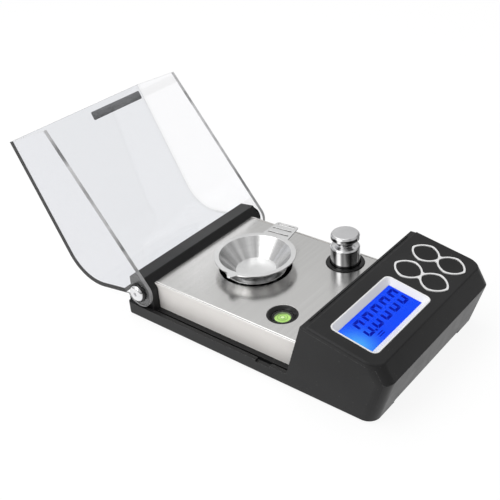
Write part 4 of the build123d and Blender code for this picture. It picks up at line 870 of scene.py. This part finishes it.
def turnedPiece(name, look, profile, finishes):
    # a closed profile of (radius, height) turned round the level's axis, one finish to each band
    bm = bmesh.new()
    steps = look["steps"]
    centreX, centreY = look["centre"]
    loops = []
    for radius, height in profile:
        angles = [2 * math.pi * i / steps for i in range(steps if radius else 1)]
        places = [(centreX + radius * math.cos(a), centreY + radius * math.sin(a)) for a in angles]
        loops.append([bm.verts.new((x * mm, y * mm, height * mm)) for x, y in places])
    for band, (low, high) in enumerate(zip(loops, loops[1:] + loops[:1])):
        for i in range(steps):
            k = (i + 1) % steps
            corners = (low[i % len(low)], low[k % len(low)], high[k % len(high)], high[i % len(high)])
            corners = list(dict.fromkeys(corners))
            if len(corners) > 2:
                bm.faces.new(corners).material_index = finishes[band]
    bmesh.ops.recalc_face_normals(bm, faces=bm.faces)
    mesh = meshOf(bm, name)
    for material in greens.values():
        mesh.materials.append(material)
    piece = linked(name, mesh)
    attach(piece, "base")
    return piece


def makeLevel(look):
    inner = look["radius"] - look["wall"]
    cup = (
        (0, look["low"]), (look["radius"], look["low"]), (look["radius"], look["top"]),
        (inner, look["top"]), (inner, look["floor"]), (0, look["floor"]),
    )
    fluid = turnedPiece("level_fluid_cup", look, cup, (wallSlot,) * 4 + (fluidSlot,))
    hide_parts("bubble_fluid")
    low, high = look["top"] - look["markDepth"], look["top"]
    for number, (near, far) in enumerate(look["marks"]):
        ring = ((near, low), (far, low), (far, high), (near, high))
        turnedPiece(f"level_mark_{number}", look, ring, (markSlot,) * 4)
    drop = look["bubble"]
    share, dip = look["dome"]
    dome = ((0, low), (drop, low), (drop * share, high - dip), (0, high))
    turnedPiece("level_bubble", look, dome, (bubbleSlot,) * 3)


makeLevel(levelLook)
setNodeMaterial("bubble_vial", clears["vial"])
print("level filled")

# ---- pieces that keep their CAD mesh
for nodeName, material in (
    ("lid_label", plastics["label"]), ("rubber_feet", plastics["rubber"]), ("case_screws", metals["screw"]),
    ("platform_post", plastics["ring"]),
    ("load_cell", metals["screw"]), ("load_cell_screws", metals["screw"]),
    ("sensor_cable", plastics["bezel"]), ("lcd_zebra_strip", plastics["rubber"]),
    ("key_switches", plastics["ring"]), ("board_screws", metals["screw"]),
    ("battery_contacts", metals["screw"]), ("battery_springs", metals["screw"]),
    ("battery_front", plastics["ring"]), ("battery_rear", plastics["ring"]), ("main_board", plastics["ring"]),
    ("lcd_backlight", plastics["bezel"]),
):
    setNodeMaterial(nodeName, material)
print("inner pieces dressed")


# ---- floor, world and lights
white = (1, 1, 1, 1)
floorLook = {"size": 3.0, "colour": (0.8, 0.8, 0.8, 1), "glow": 1.06, "glowShare": 0.84}
skyLook = {
    "low": 0.22, "high": 1.0, "full": 0.62, "bright": (-0.507, 0.862, 0.0), "shade": 0.5, "glare": 0.97,
}


def addClamped(tree, first, second):
    node = addNode(tree, "ShaderNodeMath", {"operation": "ADD", "use_clamp": True})
    tree.links.new(first, node.inputs[0])
    tree.links.new(second, node.inputs[1])
    return node.outputs["Value"]


def mixInto(tree, share, low, high, output):
    mix = addNode(tree, "ShaderNodeMixShader")
    tree.links.new(share, mix.inputs["Fac"])
    tree.links.new(low, mix.inputs[1])
    tree.links.new(high, mix.inputs[2])
    tree.links.new(mix.outputs["Shader"], output.inputs["Surface"])


def makeFloor(look):
    # mostly a plain white glow where it is seen, and a pale matte sheet for the light
    bm = bmesh.new()
    bmesh.ops.create_grid(bm, x_segments=1, y_segments=1, size=look["size"])
    mesh = meshOf(bm, "studioFloor")
    floor = linked("studio_floor", mesh)
    material = bpy.data.materials.new("paleFloor")
    material.use_nodes = True
    tree = material.node_tree
    tree.nodes.clear()
    output = tree.nodes.new("ShaderNodeOutputMaterial")
    matte = addNode(tree, "ShaderNodeBsdfDiffuse", None, {"Color": look["colour"]})
    bright = addNode(tree, "ShaderNodeEmission", None, {"Color": white, "Strength": look["glow"]})
    light = addNode(tree, "ShaderNodeLightPath").outputs
    share = addNode(tree, "ShaderNodeMath", {"operation": "MULTIPLY"}, {1: look["glowShare"]})
    seen = addClamped(tree, light["Is Camera Ray"], light["Is Glossy Ray"])
    tree.links.new(addClamped(tree, seen, light["Is Transmission Ray"]), share.inputs[0])
    mixInto(tree, share.outputs["Value"], matte.outputs["BSDF"], bright.outputs["Emission"], output)
    mesh.materials.append(material)


def makeWorld(look):
    # white where it is seen, and brighter upwards and to one side for the light
    world = bpy.data.worlds.new("studioWorld")
    scene.world = world
    world.use_nodes = True
    tree = world.node_tree
    tree.nodes.clear()
    link = tree.links.new
    output = tree.nodes.new("ShaderNodeOutputWorld")
    coords = tree.nodes.new("ShaderNodeTexCoord")
    parts = tree.nodes.new("ShaderNodeSeparateXYZ")
    towards = addNode(tree, "ShaderNodeVectorMath", {"operation": "DOT_PRODUCT"}, {1: look["bright"]})
    both = addNode(tree, "ShaderNodeMath", {"operation": "MULTIPLY"})
    studio = tree.nodes.new("ShaderNodeBackground")
    backdrop = addNode(tree, "ShaderNodeBackground", None, {"Color": white, "Strength": 1.0})
    light = tree.nodes.new("ShaderNodeLightPath").outputs
    link(coords.outputs["Generated"], parts.inputs["Vector"])
    link(coords.outputs["Generated"], towards.inputs[0])
    link(rangeOf(tree, parts.outputs["Z"], look["low"], look["high"], 0.0, look["full"]), both.inputs[0])
    link(rangeOf(tree, towards.outputs["Value"], look["shade"], look["glare"], -1.0, 1.0), both.inputs[1])
    link(both.outputs["Value"], studio.inputs["Color"])
    seen = addClamped(tree, light["Is Camera Ray"], light["Is Transmission Ray"])
    mixInto(tree, seen, studio.outputs["Background"], backdrop.outputs["Background"], output)


softboxes = {
    "left": {"place": (-0.55, 0.15, 0.45), "aim": (0, 0, 0.02), "size": (0.5, 0.5), "power": 1.4},
    "top": {"place": (0.0, 0.2, 0.75), "aim": (0, -0.02, 0.0), "size": (0.6, 0.6), "power": 1.5},
}


def makeSoftbox(name, look):
    data = bpy.data.lights.new(name + "Softbox", "AREA")
    data.shape = "RECTANGLE"
    data.size, data.size_y = look["size"]
    data.energy = look["power"]
    lamp = linked(name + "Softbox", data)
    turn = (Vector(look["place"]) - Vector(look["aim"])).normalized().to_track_quat("Z", "Y")
    lamp.matrix_world = Matrix.Translation(look["place"]) @ turn.to_matrix().to_4x4()


makeFloor(floorLook)
makeWorld(skyLook)
for name, look in softboxes.items():
    makeSoftbox(name, look)
print("studio lit")
